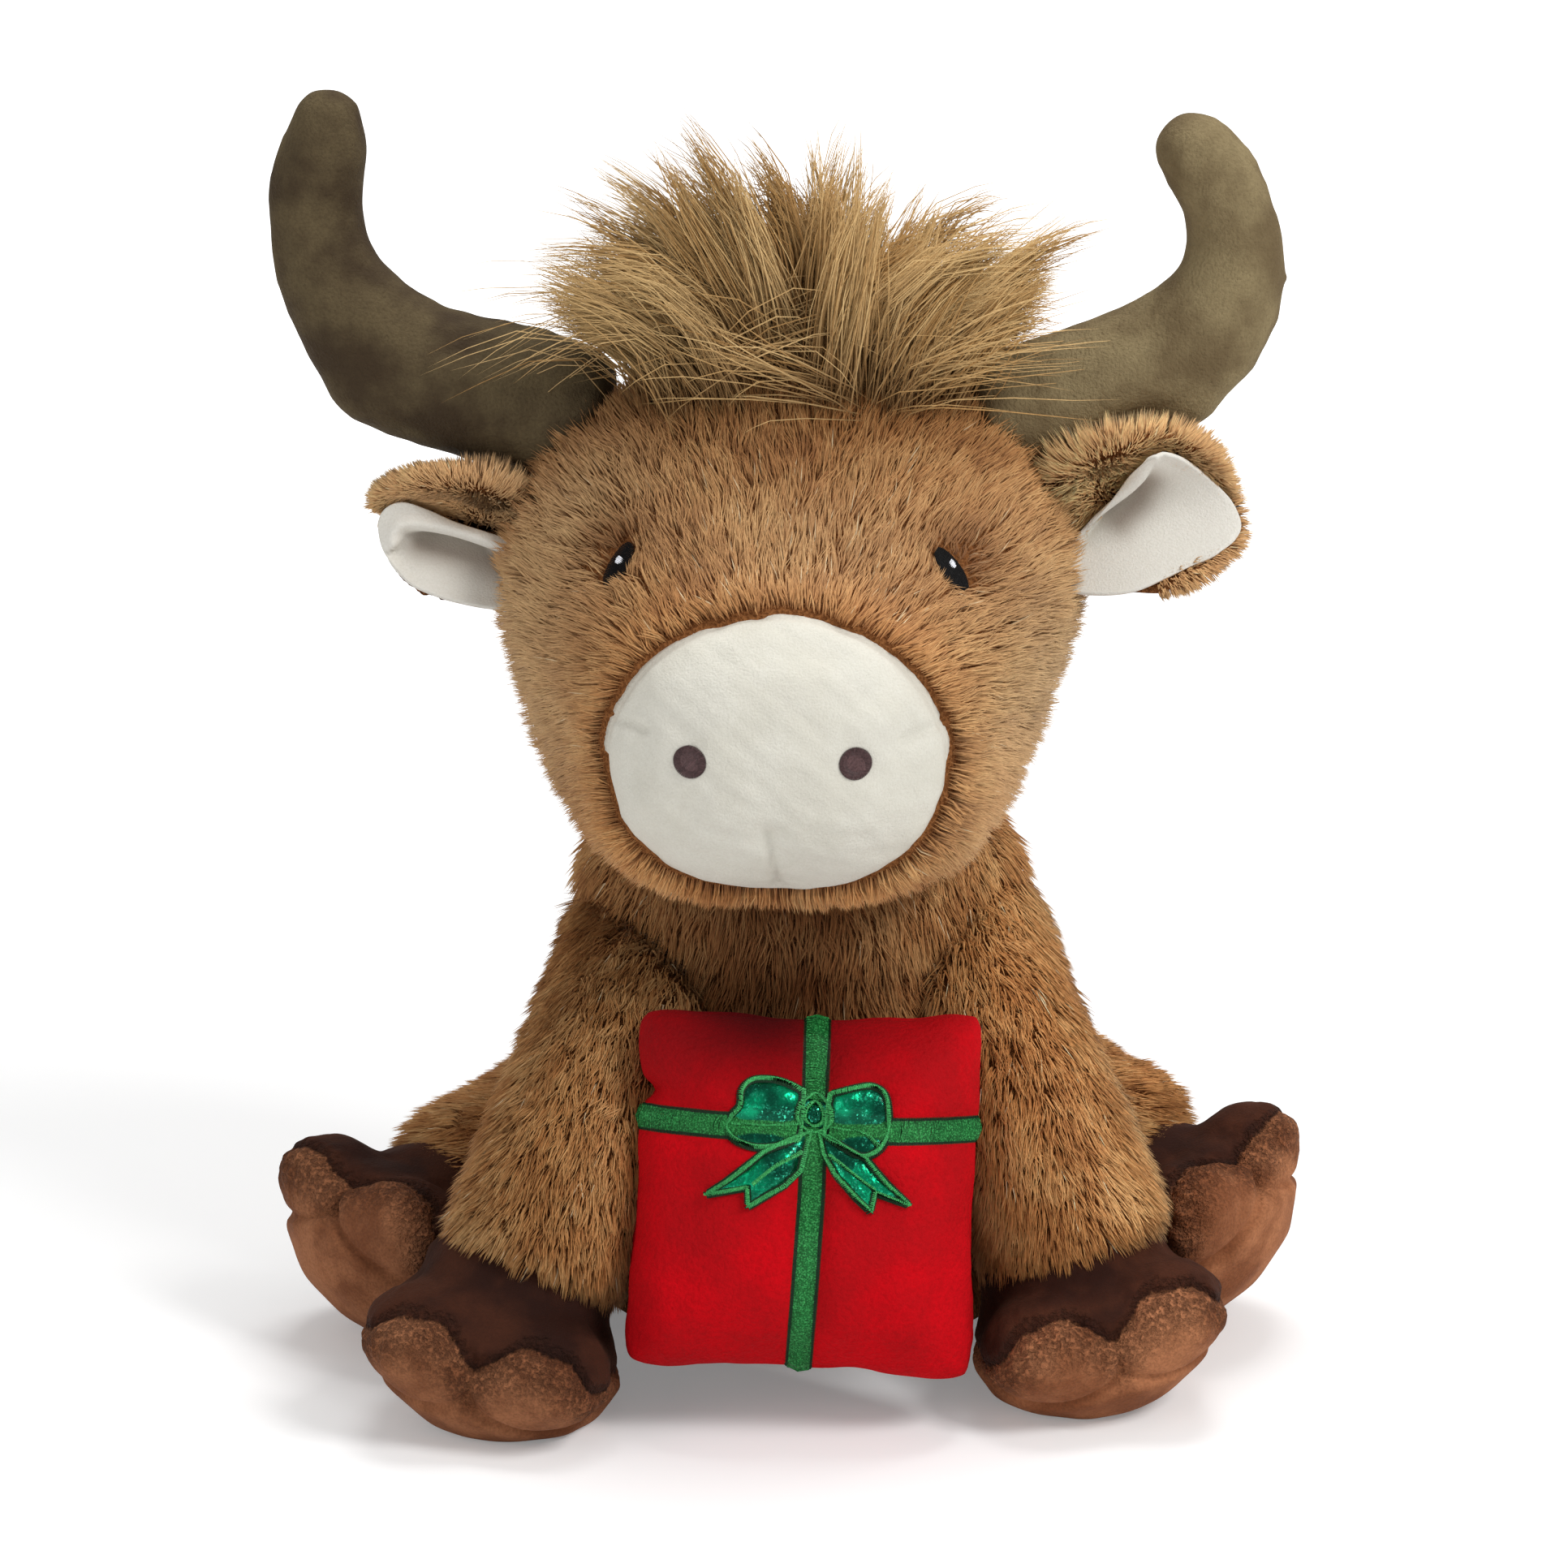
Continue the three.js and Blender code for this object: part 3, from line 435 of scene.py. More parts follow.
head = blown("head_plush", ["head_skin", "head_stuffing", "muzzle_panel"], body_voxel, body_swell)
slimmed(head)
head_fibre = copied("head_fibre", "head_stuffing")
finished(head_fibre, "REMESH", mode="VOXEL", voxel_size=body_voxel)
eased(head_fibre, 4)
slimmed(head_fibre, cheek_hollow)
sewn(head, "head_skin", "head", backing_finish)
head_form = surface(head)

# Muzzle
# A cream velour oval set into the snout, wider below, with a dart sewn into it at each side and one below
# that pull it in.
muzzle_raise = 0.0017
muzzle_hollow = 0.0045
rim_dip = 0.0022
rim_depth = 0.0035
back_depth = 0.006
egg_share = 0.045
darts = [
    ((-0.0415, 0.1640), (-0.0335, 0.1625)),
    ((0.0375, 0.1640), (0.0245, 0.1610)),
    ((-0.0030, 0.1230), (-0.0055, 0.1400)),
]
dart_width = 0.0011
dart_depth = 0.0019
dimple_width = 0.0036
dimple_depth = 0.0010
nostril_hollow = 0.0006
muzzle_rings = 60
muzzle_sides = 160


def box_centre(*nodes):
    corners = np.array([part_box(node) for node in nodes])
    return (corners[:, 0].min(0) + corners[:, 1].max(0)) / 2


def box_half(node):
    low, high = np.array(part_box(node))
    return (high - low) / 2


muzzle_middle = box_centre("muzzle_panel") + np.array((0, 0, -0.0008))
muzzle_half = box_half("muzzle_panel") * np.array((1, 1, 1.02))


def met(form, x, z):
    """Where a line from the front meets the form, and the form's normal there."""
    place, normal, _, _ = form.ray_cast(Vector((x, -1, z)), Vector((0, 1, 0)))
    return np.array(place), np.array(normal)


def wander(places, span, seed):
    """A smooth random value, -1 to 1, whose hills are about a span apart."""
    waves = np.random.default_rng(seed)
    total = np.zeros(len(places))
    for _ in range(9):
        way = waves.normal(size=3)
        way *= 2 * math.pi / span * waves.uniform(0.6, 1.5) / np.linalg.norm(way)
        total += np.sin(places @ way + waves.uniform(0, 2 * math.pi))
    return np.clip(total / 3, -1, 1)[:, None]


def dart_pull(places):
    """How deep the darts pull the panel in."""
    pull = np.zeros(len(places))
    flat = places[:, [0, 2]]
    for start, end in darts:
        start, end = np.array(start), np.array(end)
        line = end - start
        share = np.clip((flat - start) @ line / (line @ line), 0, 1)
        away = np.linalg.norm(flat - start - share[:, None] * line, axis=1)
        pull += dart_depth * bell(away, dart_width) * (1 - 0.5 * share)
        far = np.linalg.norm(flat - end, axis=1)
        pull += dimple_depth * bell(far, dimple_width)
        wide = np.linalg.norm(flat - (start + end) / 2, axis=1)
        pull += 0.5 * dimple_depth * bell(wide, 3 * dimple_width)
    return pull


def muzzle_share(root):
    """How far out from the muzzle's middle, where 1 is its edge."""
    return lengths((root[:, [0, 2]] - muzzle_middle[[0, 2]]) / muzzle_half[[0, 2]])


def oval_point(share, angle):
    """A point of the muzzle in front view, at a share of the way to its edge, that is wider below."""
    up = share * muzzle_half[2] * math.sin(angle)
    across = share * muzzle_half[0] * math.cos(angle) * (1 - egg_share * up / muzzle_half[2])
    return muzzle_middle[0] + across, muzzle_middle[2] + up


def shaped(name, shape):
    """A new object from a finished shape."""
    mesh = bpy.data.meshes.new(name)
    shape.to_mesh(mesh)
    shape.free()
    return linked(name, mesh)


shape = bmesh.new()
rings = []
for ring in range(1, muzzle_rings + 1):
    share = (ring / muzzle_rings) ** 0.8
    raise_by = muzzle_raise * (1 - share**10) - rim_dip * share**40
    row = []
    for side in range(muzzle_sides):
        place, normal = met(head_form, *oval_point(share, 2 * math.pi * side / muzzle_sides))
        row.append(shape.verts.new(place + raise_by * normal))
    rings.append(row)
place, normal = met(head_form, muzzle_middle[0], muzzle_middle[2])
nose = shape.verts.new(place + muzzle_raise * normal)
back_row = [shape.verts.new(Vector((v.co.x, v.co.y + rim_depth, v.co.z))) for v in rings[-1]]
inner = shape.verts.new(Vector(place) + Vector((0, back_depth, 0)))
rings.append(back_row)
for side in range(muzzle_sides):
    other = (side + 1) % muzzle_sides
    shape.faces.new((nose, rings[0][side], rings[0][other]))
    for near, far in zip(rings, rings[1:]):
        shape.faces.new((near[side], far[side], far[other], near[other]))
    shape.faces.new((inner, back_row[other], back_row[side]))
bmesh.ops.recalc_face_normals(shape, faces=shape.faces)
muzzle = shaped("muzzle_velour", shape)
eased(muzzle, 6)
places = points(muzzle)
front = np.clip(-normals(muzzle)[:, 1:2] * 3, 0, 1)
pull = dart_pull(places)
for nostril in (box_centre("nostril_left"), box_centre("nostril_right")):
    far = np.linalg.norm(places[:, [0, 2]] - nostril[[0, 2]], axis=1)
    pull += nostril_hollow * bell(far, 0.005)
pull *= np.clip((0.985 - muzzle_share(places)[:, 0]) / 0.06, 0, 1)
puff = 0.0004 * wander(places, 0.02, 11) + 0.00015 * wander(places, 0.006, 12)
set_points(muzzle, places + front * normals(muzzle) * (puff - pull[:, None]))
choose(muzzle)
bpy.ops.object.shade_smooth()
places = points(head)
under = np.clip((1.02 - muzzle_share(places)) / 0.12, 0, 1) * (places[:, 1:2] < -0.04)
set_points(head, places - muzzle_hollow * under * normals(head))
head_form = surface(head)


def velour(name, dark, plain, light, nap, patch, speck, depth, sheen=0.12, with_painted_shadow=False):
    """Short velour pile: brushed patches that turn lighter or darker, fine specks and a soft edge light.
    Where its attribute says, a painted shadow darkens it."""
    tint = (*linear(light), 1)
    cloth = Finish(name, Specular_IOR_Level=0.12, Sheen_Weight=sheen, Sheen_Roughness=0.4, Sheen_Tint=tint)
    wide = cloth.steps(cloth.noise(nap, 3, 0.6), 0.36, 0.64)
    fine = cloth.noise(speck, 2, 0.6)
    brushed = cloth.mixed(wide, dark, light)
    colour = cloth.mixed(patch, plain, brushed)
    shaded = cloth.mixed(cloth.steps(fine, 0.3, 0.75) * 0.3, colour, dark)
    if with_painted_shadow:
        # A painted shadow, darker as far as the attribute says.
        turned = cloth.painted("Head_shadow")
        shaded = cloth.mixed(turned, shaded, tuple(0.45 * part for part in dark))
    cloth.set("Base Color", shaded)
    cloth.set("Roughness", 0.78 + 0.14 * wide)
    cloth.bump(fine + 0.6 * cloth.noise(speck * 0.35, 2), depth)
    return cloth.material


creams = ((196, 191, 176), (218, 215, 203), (230, 228, 220))
cream_finish = velour("cream_velour", *creams, 70, 0.14, 1900, 0.00022)
sewn(muzzle, "muzzle_panel", "head", cream_finish)
muzzle_form = surface(muzzle)

# Eyes and nostrils
# Embroidered with satin stitch: the eyes are slanted black ovals with a white glint, the nostrils are brown
# rings of stitches around a filled middle.
thread_radius = 0.00021
thread_pitch = 0.00034


def threads(name, spine, radius, colour, facing, sides=3):
    """Hairs or stitches as closed spindles: spine and radius and colour for each of a strand's points,
    and the way that its light is caught. Its colours are the attribute Strand."""
    count, length = spine.shape[:2]
    rings = length - 2
    along = unit(spine[:, 2:] - spine[:, :-2])
    lean = facing[:, None, :] + np.array((0.13, 0.21, 0.17))
    across = unit(np.cross(along, np.broadcast_to(lean, along.shape)))
    out = np.cross(along, across)
    angle = np.arange(sides) * 2 * math.pi / sides
    ring = across[:, :, None] * np.cos(angle)[:, None] + out[:, :, None] * np.sin(angle)[:, None]
    tube = spine[:, 1:-1, None] + ring * radius[:, 1:-1, None, None]
    verts = np.concatenate([spine[:, :1], tube.reshape(count, -1, 3), spine[:, -1:]], 1)
    shade = np.concatenate([colour[:, :1], np.repeat(colour[:, 1:-1], sides, 1), colour[:, -1:]], 1)
    catch = facing[:, None] * 0.7 + 0.4 * ring.reshape(count, -1, 3)
    catch = unit(np.concatenate([facing[:, None], catch, facing[:, None]], 1))
    each = verts.shape[1]
    faces = []
    charts = []
    for side in range(sides):
        other = (side + 1) % sides
        low, high = side / sides, (side + 1) / sides
        foot = 1 / (length - 1)
        faces.append((0, 1 + other, 1 + side))
        charts.append(((low + high) / 2, 0, high, foot, low, foot))
        for step in range(rings - 1):
            here = 1 + step * sides
            there = here + sides
            down, up = (step + 1) / (length - 1), (step + 2) / (length - 1)
            faces.append((here + side, here + other, there + other))
            faces.append((here + side, there + other, there + side))
            charts += [(low, down, high, down, high, up), (low, down, high, up, low, up)]
        last = 1 + (rings - 1) * sides
        faces.append((last + side, last + other, each - 1))
        charts.append((low, 1 - foot, high, 1 - foot, (low + high) / 2, 1))
    corners = (np.arange(count)[:, None, None] * each + np.array(faces)[None]).ravel()
    mesh = bpy.data.meshes.new(name)
    mesh.vertices.add(count * each)
    mesh.vertices.foreach_set("co", verts.astype(np.float32).ravel())
    mesh.loops.add(len(corners))
    mesh.loops.foreach_set("vertex_index", corners.astype(np.int32))
    mesh.polygons.add(len(corners) // 3)
    mesh.polygons.foreach_set("loop_start", np.arange(0, len(corners), 3, dtype=np.int32))
    mesh.update()
    mesh.polygons.foreach_set("use_smooth", np.ones(len(mesh.polygons), bool))
    tint = mesh.attributes.new("Strand", "FLOAT_COLOR", "POINT")
    full = np.concatenate([shade.reshape(-1, 3), np.ones((count * each, 1))], 1)
    tint.data.foreach_set("color", np.clip(full, 0, 1).astype(np.float32).ravel())
    cells = math.ceil(math.sqrt(count))
    spot = np.stack([np.arange(count) % cells, np.arange(count) // cells], 1) + 0.12
    chart = np.array(charts).reshape(-1, 2) * 0.76
    uv = (spot[:, None] + chart[None]) / cells
    layer = mesh.uv_layers.new(name="OFBake")
    layer.data.foreach_set("uv", uv.astype(np.float32).ravel())
    mesh.normals_split_custom_set_from_vertices(catch.reshape(-1, 3).tolist())
    return linked(name, mesh)


def stitched(name, starts, ends, raised, form, colours, radius=thread_radius, ray=met, base=0.0):
    """Satin stitches from each start to its end, bowed up over the form."""
    share = (0, 0.1, 0.5, 0.9, 1)
    rise = (-0.0004, 0.4 * raised, raised, 0.4 * raised, -0.0004)
    spine = np.empty((len(starts), 5, 3))
    facing = np.empty((len(starts), 3))
    for index, (start, end) in enumerate(zip(starts, ends)):
        for step, part in enumerate(share):
            x, z = start + part * (end - start)
            place, normal = ray(form, x, z)
            lift = base + rise[step]
            spine[index, step] = place + lift * normal
            if step == 2:
                facing[index] = normal
    widths = np.tile(radius * np.array((0, 0.85, 1, 0.85, 0)), (len(starts), 1))
    return threads(name, spine, widths, colours, facing, 4)


def thread_colours(count, colour, spread, seed, rim=1.0):
    """Colours along each stitch, darker at its ends with painted shade, where it dives into the cloth."""
    random = np.random.default_rng(seed)
    tint = linear(colour) * (1 + spread * random.normal(size=(count, 5, 1)))
    near = 0.8 + 0.2 * rim
    return np.clip(tint * np.array((rim, near, 1, near, rim))[:, None], 0, 1)


def thread_finish(name, roughness, shine, speck, painted_glint_strength, full):
    """Thread with fine specks of painted highlight along its twist, but not at the dark ends of its
    stitches, and painted shade in the twist's grooves.
    """
    yarn = Finish(name, Roughness=roughness, Specular_IOR_Level=shine)
    strand = yarn.painted("Strand", "Color")
    twist = yarn.noise(2600, 2, 0.6)
    green_part = yarn.node("ShaderNodeSeparateColor", {}, {"Color": strand}, 1)
    # Painted highlight specks along the twist, and painted shade in its grooves.
    lit = yarn.steps(twist, 0.46, 0.74) * painted_glint_strength * yarn.steps(green_part, 0.4 * full, full)
    light = yarn.mixed(lit, strand, speck, "ADD")
    groove = yarn.mixed(yarn.steps(twist, 0.3, 0.55), (120, 120, 120), (255, 255, 255))
    yarn.set("Base Color", yarn.mixed(0.55, light, groove, "MULTIPLY"))
    yarn.bump(twist, 0.00012)
    return yarn.material


satin = thread_finish("satin_thread", 0.42, 0.28, (90, 80, 80), 0.3, 0.003)
black_satin = thread_finish("black_thread", 0.5, 0.1, (60, 60, 60), 0.2, 0.003)
green_satin = thread_finish("green_thread", 0.45, 0.2, (84, 176, 104), 0.7, 0.13)


def turning(angle):
    return np.array(((math.cos(angle), -math.sin(angle)), (math.sin(angle), math.cos(angle))))


def satin_oval(middle, half, slant, lean):
    """Starts and ends of stitches across an oval that is slanted by an angle."""
    starts, ends = [], []
    turn = turning(slant)
    for row in range(int(2 * half[1] / thread_pitch)):
        up = -half[1] + (row + 0.5) * thread_pitch
        wide = half[0] * math.sqrt(max(0, 1 - (up / half[1]) ** 2))
        starts.append(middle + turn @ np.array((-wide, up - lean * wide)))
        ends.append(middle + turn @ np.array((wide, up + lean * wide)))
    return np.array(starts), np.array(ends)


def joined(name, first, *others):
    deselect()
    for piece in (first, *others):
        piece.select_set(True)
    bpy.context.view_layer.objects.active = first
    bpy.ops.object.join()
    first.name = name
    return first


both_sides = ((-1, "left"), (1, "right"))
eye_half = (0.0022, 0.0054)
eye_base = 0.0008
eye_raise = 0.0008
eye_black = (7, 6, 6)
eye_slants = {"left": math.radians(-31), "right": math.radians(40)}
eye_shifts = {"left": (0.0011, 0), "right": (0.0002, -0.0003)}
glint_half = (0.0009, 0.0010)
glint_raise = 0.0013
glint_white = (236, 238, 244)
glint_shifts = {"left": (0.0004, 0.0008), "right": (-0.0001, 0.0008)}
for side, name in both_sides:
    whole = "eye_" + name + "_satin"
    middle = box_centre("eye_" + name)[[0, 2]] + eye_shifts[name]
    starts, ends = satin_oval(middle, eye_half, eye_slants[name], 0.25)
    tints = thread_colours(len(starts), eye_black, 0.2, 21 + side)
    eye = stitched(whole, starts, ends, eye_raise, head_form, tints, base=eye_base)
    starts, ends = satin_oval(middle + glint_shifts[name], glint_half, eye_slants[name], 0.2)
    tints = thread_colours(len(starts), glint_white, 0.04, 23 + side)
    glint = stitched("eye_" + name + "_glint", starts, ends, glint_raise, head_form, tints, base=eye_base)
    sewn(joined(whole, eye, glint), "eye_" + name, "head", black_satin)

nostril_radius = 0.0037
nostril_inner = 0.0017
nostril_fill = 1.5 * nostril_inner
nostril_stitches = 54
nostril_raise = 0.0007
nostril_fill_raise = 0.0006
nostril_brown = (74, 50, 50)
nostril_fill_brown = (92, 66, 66)
around = np.linspace(0, 2 * math.pi, nostril_stitches, endpoint=False)
spokes = np.stack([np.cos(around), np.sin(around)], 1)
for side, name in both_sides:
    whole = "nostril_" + name + "_satin"
    middle = box_centre("nostril_" + name)[[0, 2]]
    starts = middle + nostril_radius * spokes
    ends = middle + nostril_inner * np.roll(spokes, -2, 0)
    tints = thread_colours(len(starts), nostril_brown, 0.14, 31 + side)
    ring = stitched("nostril_" + name + "_ring", starts, ends, nostril_raise, muzzle_form, tints)
    starts, ends = satin_oval(middle, (nostril_fill, nostril_fill), 0.9, 0)
    tints = thread_colours(len(starts), nostril_fill_brown, 0.18, 33 + side)
    fill = stitched("nostril_" + name + "_fill", starts, ends, nostril_fill_raise, muzzle_form, tints)
    sewn(joined(whole, ring, fill), "nostril_" + name, "head", satin)

# Horns
# Olive velour tubes, firmly stuffed and sewn to the head's upper corners. The right one is painted lighter
# and the left one darker, as painted light and shade, and the right one curls in more than the left one.
horn_voxel = 0.0024
horn_swell = 0.001
horn_bend_height = 0.220
horn_bend_span = (0.014, 0.04, 0.012)
horn_curves = {"left": (-0.100, -0.0025), "right": (0.094, 0.0015)}
# One olive velour, in a shaded copy for the left horn and a lit copy for the right: painted shade and light.
horn_lit_and_shaded_tints = {
    "left": ((54, 42, 30), (76, 62, 43), (108, 95, 69)),
    "right": ((94, 78, 54), (125, 108, 78), (152, 137, 102)),
}
horn_forms = []
for name, tints in horn_lit_and_shaded_tints.items():
    horn = blown("horn_" + name + "_plush", ["horn_" + name], horn_voxel, horn_swell)
    across, outwards = horn_curves[name]
    bend = (across, box_centre("horn_" + name)[1], horn_bend_height)
    pressed(horn, bend, horn_bend_span, (outwards, 0, -0.003))
    eased(horn, 8)
    places = points(horn)
    wave = 0.0001 * wander(places, 0.011, 41) + 0.0005 * wander(places, 0.028, 42)
    set_points(horn, places + normals(horn) * (0.0004 + wave))
    horn_finish = velour("horn_velour_" + name, *tints, 42, 0.62, 1300, 0.0005)
    sewn(horn, "horn_" + name, "head", horn_finish)
    horn_forms.append(surface(horn))

# Ears
# Each is a cup of fur fabric lined with cream velour and folded at its root, which bends at the seam. The
# lining stands up in a lip over a deep crease, and its hollow beside the crease is darkened with painted
# shade.
ear_voxel = 0.0013
lining_wall = 0.0009
ear_wall = 0.0012
# How each ear differs. Bare: its rim has no pile inwards of this x and below this height. Fold top: above
# this height it keeps this share of its height. Trims: its rim is drawn in this far, below this height.
# Hairs: the longest pile, and the share of it at the lower edge. Rise: how much higher the whole ear is.
# Painted lights: how much lighter its pile is painted, as painted light, and the share of pale in it.
# Corners: how far its outer corner moves. Roots: how far out the longer hairs by the head are, and how much
# longer they are.
ear_bare = {"left": (0.0, 0.195), "right": (0.084, 0.190)}
ear_fold_top = {"left": (0.1995, 0.82), "right": (0.3, 1)}
ear_corner = np.array((0.105, 0.005, 0.210))
ear_corner_span = (0.012, 0.05, 0.012)
lining_rings = 36
lip_height = 0.0026
crease_depth = 0.0058
hollow_shade_span = 3.8
pile_length = 0.009
pile_radius = 0.0002
floor_gap = 0.0005
root_depth = 0.0012
skin_gap = 0.0012
other_gap = 0.0004
ear_swell = 0.0006
ear_hair_count = 12000
ear_trims = {"left": (0.0032, 0.198), "right": (0.0012, 0.19)}
ear_hairs = {"left": (0.0034, 0.3), "right": (0.0056, 0.4)}
ear_rise = {"left": 0.0, "right": 0.0018}
ear_painted_lights = {"left": (1.42, 0.45), "right": (1.32, 0.38)}
ear_corners = {"left": (0, 0, 0), "right": (-0.0032, 0, -0.0014)}
ear_roots = {"left": (0.068, 0.0032), "right": (0.064, 0.0025)}
ear_linings = {
    "left": [(-61.0, 188.0), (-62.0, 190.5), (-66.3, 191.6), (-72.5, 193.6), (-79.1, 195.8), (-85.5, 198.6),
             (-90.4, 200.2), (-94.2, 199.2), (-96.6, 196.4), (-97.0, 192.6), (-95.3, 187.6), (-89.6, 182.0),
             (-83.0, 179.4), (-77.0, 178.0), (-70.0, 177.0), (-62.0, 177.0)],
    "right": [(63.2, 182.0), (69.5, 181.6), (76.0, 182.0), (81.5, 183.4), (90.4, 187.0), (98.7, 190.8),
              (102.2, 193.6), (103.2, 197.0), (100.8, 202.2), (96.6, 206.4), (92.0, 210.2), (87.6, 213.2),
              (83.4, 214.4), (80.0, 213.0), (77.2, 209.4), (74.6, 205.0), (71.6, 200.4), (68.0, 195.2),
              (63.8, 189.8)],
}
ear_creases = {
    "left": ([(-90.8, 191.6), (-89.2, 192.6), (-83.2, 192.0), (-76.4, 190.3), (-66.0, 186.6)], -1),
    "right": ([(82.6, 212.0), (81.9, 209.6), (81.1, 207.0), (78.0, 203.2), (72.6, 198.7), (67.0, 194.4)], 1),
}
hollow_shade_cores = {
    "left": [(-87.4, 189.6), (-79.2, 187.6), (-66.0, 184.6)],
    "right": [(81.6, 206.1), (79.6, 201.1), (75.5, 196.6)],
}


def rounded(outline, steps=6):
    """A smooth line through the points."""
    spots = np.array(outline, float)
    count = len(spots)
    line = []
    for index in range(count - 1):
        before = spots[max(index - 1, 0)]
        after = spots[min(index + 2, count - 1)]
        here, there = spots[index], spots[index + 1]
        for step in range(steps):
            t = step / steps
            square = 2 * before - 5 * here + 4 * there - after
            cube = 3 * here - before - 3 * there + after
            line.append(0.5 * (2 * here + (there - before) * t + square * t**2 + cube * t**3))
    line.append(spots[-1])
    return np.array(line)


def from_edge(spots, outline):
    """How far each spot is from the outline."""
    return np.array([np.linalg.norm(outline - spot, axis=1).min() for spot in spots])


def enclosed(spots, outline):
    """Which spots lie inside a closed outline."""
    found = np.zeros(len(spots), bool)
    for (x1, z1), (x2, z2) in zip(outline, np.roll(outline, -1, 0)):
        crosses = (z1 > spots[:, 1]) != (z2 > spots[:, 1])
        at = x1 + (spots[:, 1] - z1) * (x2 - x1) / (z2 - z1 if z2 != z1 else 1)
        found ^= crosses & (spots[:, 0] < at)
    return found


def quilted(name, outline, centre, rings, front, back=None):
    """A patch over an outline: front gives its face at a spot and a share of the way to its edge, and
    back gives its underside, which closes it."""
    shape = bmesh.new()
    rows = []
    for ring in range(1, rings + 1):
        share = ring / rings
        rows.append([shape.verts.new(front(centre + share * (spot - centre), share)) for spot in outline])
    top = shape.verts.new(front(centre, 0))
    if back:
        rows.append([shape.verts.new(back(spot)) for spot in outline])
        under = shape.verts.new(back(centre))
    for side in range(len(outline)):
        other = (side + 1) % len(outline)
        shape.faces.new((top, rows[0][side], rows[0][other]))
        for near, far in zip(rows, rows[1:]):
            shape.faces.new((near[side], far[side], far[other], near[other]))
        if back:
            shape.faces.new((under, rows[-1][other], rows[-1][side]))
    bmesh.ops.recalc_face_normals(shape, faces=shape.faces)
    shape.normal_update()
    shape.faces.ensure_lookup_table()
    if not back and shape.faces[0].normal.y > 0:
        bmesh.ops.reverse_faces(shape, faces=shape.faces)
    patch = shaped(name, shape)
    patch.data.polygons.foreach_set("use_smooth", np.ones(len(patch.data.polygons), bool))
    return patch


def from_line(spot, line):
    """How far a spot is from a line, less than zero on its right-hand side."""
    best = 1e9
    for start, end in zip(line, line[1:]):
        way = end - start
        share = min(max((spot - start) @ way / (way @ way), 0), 1)
        off = spot - start - share * way
        if np.linalg.norm(off) < abs(best):
            best = math.copysign(np.linalg.norm(off), way[0] * off[1] - way[1] * off[0])
    return best


def attribute(piece, name, values):
    layer = piece.data.attributes.new(name, "FLOAT", "POINT")
    layer.data.foreach_set("value", np.asarray(values, np.float32))


def scattered(skin, count, keep, random):
    """Random roots on the skin, with its normals there, denser where keep is higher."""
    places = points(skin)
    turned = normals(skin)
    corners = triangles(skin)
    first, second, third = (places[corners[:, i]] for i in range(3))
    facing = np.cross(second - first, third - first)
    weight = lengths(facing)[:, 0] * keep((first + second + third) / 3, unit(facing))
    chosen = random.choice(len(corners), count, p=weight / weight.sum())
    share = random.random((count, 2))
    share = np.where(share.sum(1, keepdims=True) > 1, 1 - share, share)
    share = np.concatenate([1 - share.sum(1, keepdims=True), share], 1)
    root = sum(places[corners[chosen, i]] * share[:, i : i + 1] for i in range(3))
    normal = unit(sum(turned[corners[chosen, i]] * share[:, i : i + 1] for i in range(3)))
    return root, normal


probe = Vector((0.31, 0.17, 0.93)).normalized()


def within(place, form):
    """Whether a place lies inside a closed form: a line from it leaves more often than it enters."""
    spot = Vector(place)
    walls = 0
    while True:
        spot, _, _, _ = form.ray_cast(spot, probe)
        if spot is None:
            return walls % 2 == 1
        walls += 1
        spot += 1e-6 * probe


def inside(places, form, margin):
    """Which places lie in the form, or nearer to it than the margin."""
    found = np.zeros(len(places), bool)
    for index, place in enumerate(places.tolist()):
        near, normal, _, distance = form.find_nearest(place, 0.03)
        if near is not None:
            depth = (Vector(place) - near).dot(normal)
            found[index] = distance < margin or (depth < 0 and within(place, form))
    return found


def cleared(places, form, margin):
    """The places, with those inside the form moved out onto it."""
    result = places.copy()
    for index, place in enumerate(places.tolist()):
        near, normal, _, distance = form.find_nearest(place, 0.016)
        if near is None:
            continue
        depth = (Vector(place) - near).dot(normal)
        if distance < margin or (depth < 0 and within(place, form)):
            result[index] = near + normal * margin
    return result


fur_dark = linear((126, 75, 38))
fur_middle = linear((184, 129, 76))
fur_light = linear((216, 171, 115))
fur_warm = linear((196, 124, 62))
fur_pale = linear((220, 188, 142))
fur_painted_glint = linear((232, 208, 170))


def coat(root, random, seed, warmth=0.25, painted_glints=0.005):
    """Each hair's colour: tan, with darker and warmer patches, and a few pale hairs that are painted glints.
    """
    share = 0.58 + 0.12 * wander(root, 0.04, seed) + 0.16 * wander(root, 0.011, seed + 1)
    share = np.clip(share + 0.16 * random.normal(size=(len(root), 1)), 0, 1)
    low = fur_dark + (fur_middle - fur_dark) * np.minimum(share * 2, 1)
    colour = low + (fur_light - low) * np.clip(share * 2 - 1, 0, 1)
    colour = colour + (fur_warm - colour) * warmth * (0.5 + 0.5 * wander(root, 0.06, seed + 2))
    glint = random.random((len(root), 1)) < painted_glints
    return np.where(glint, fur_painted_glint, colour)


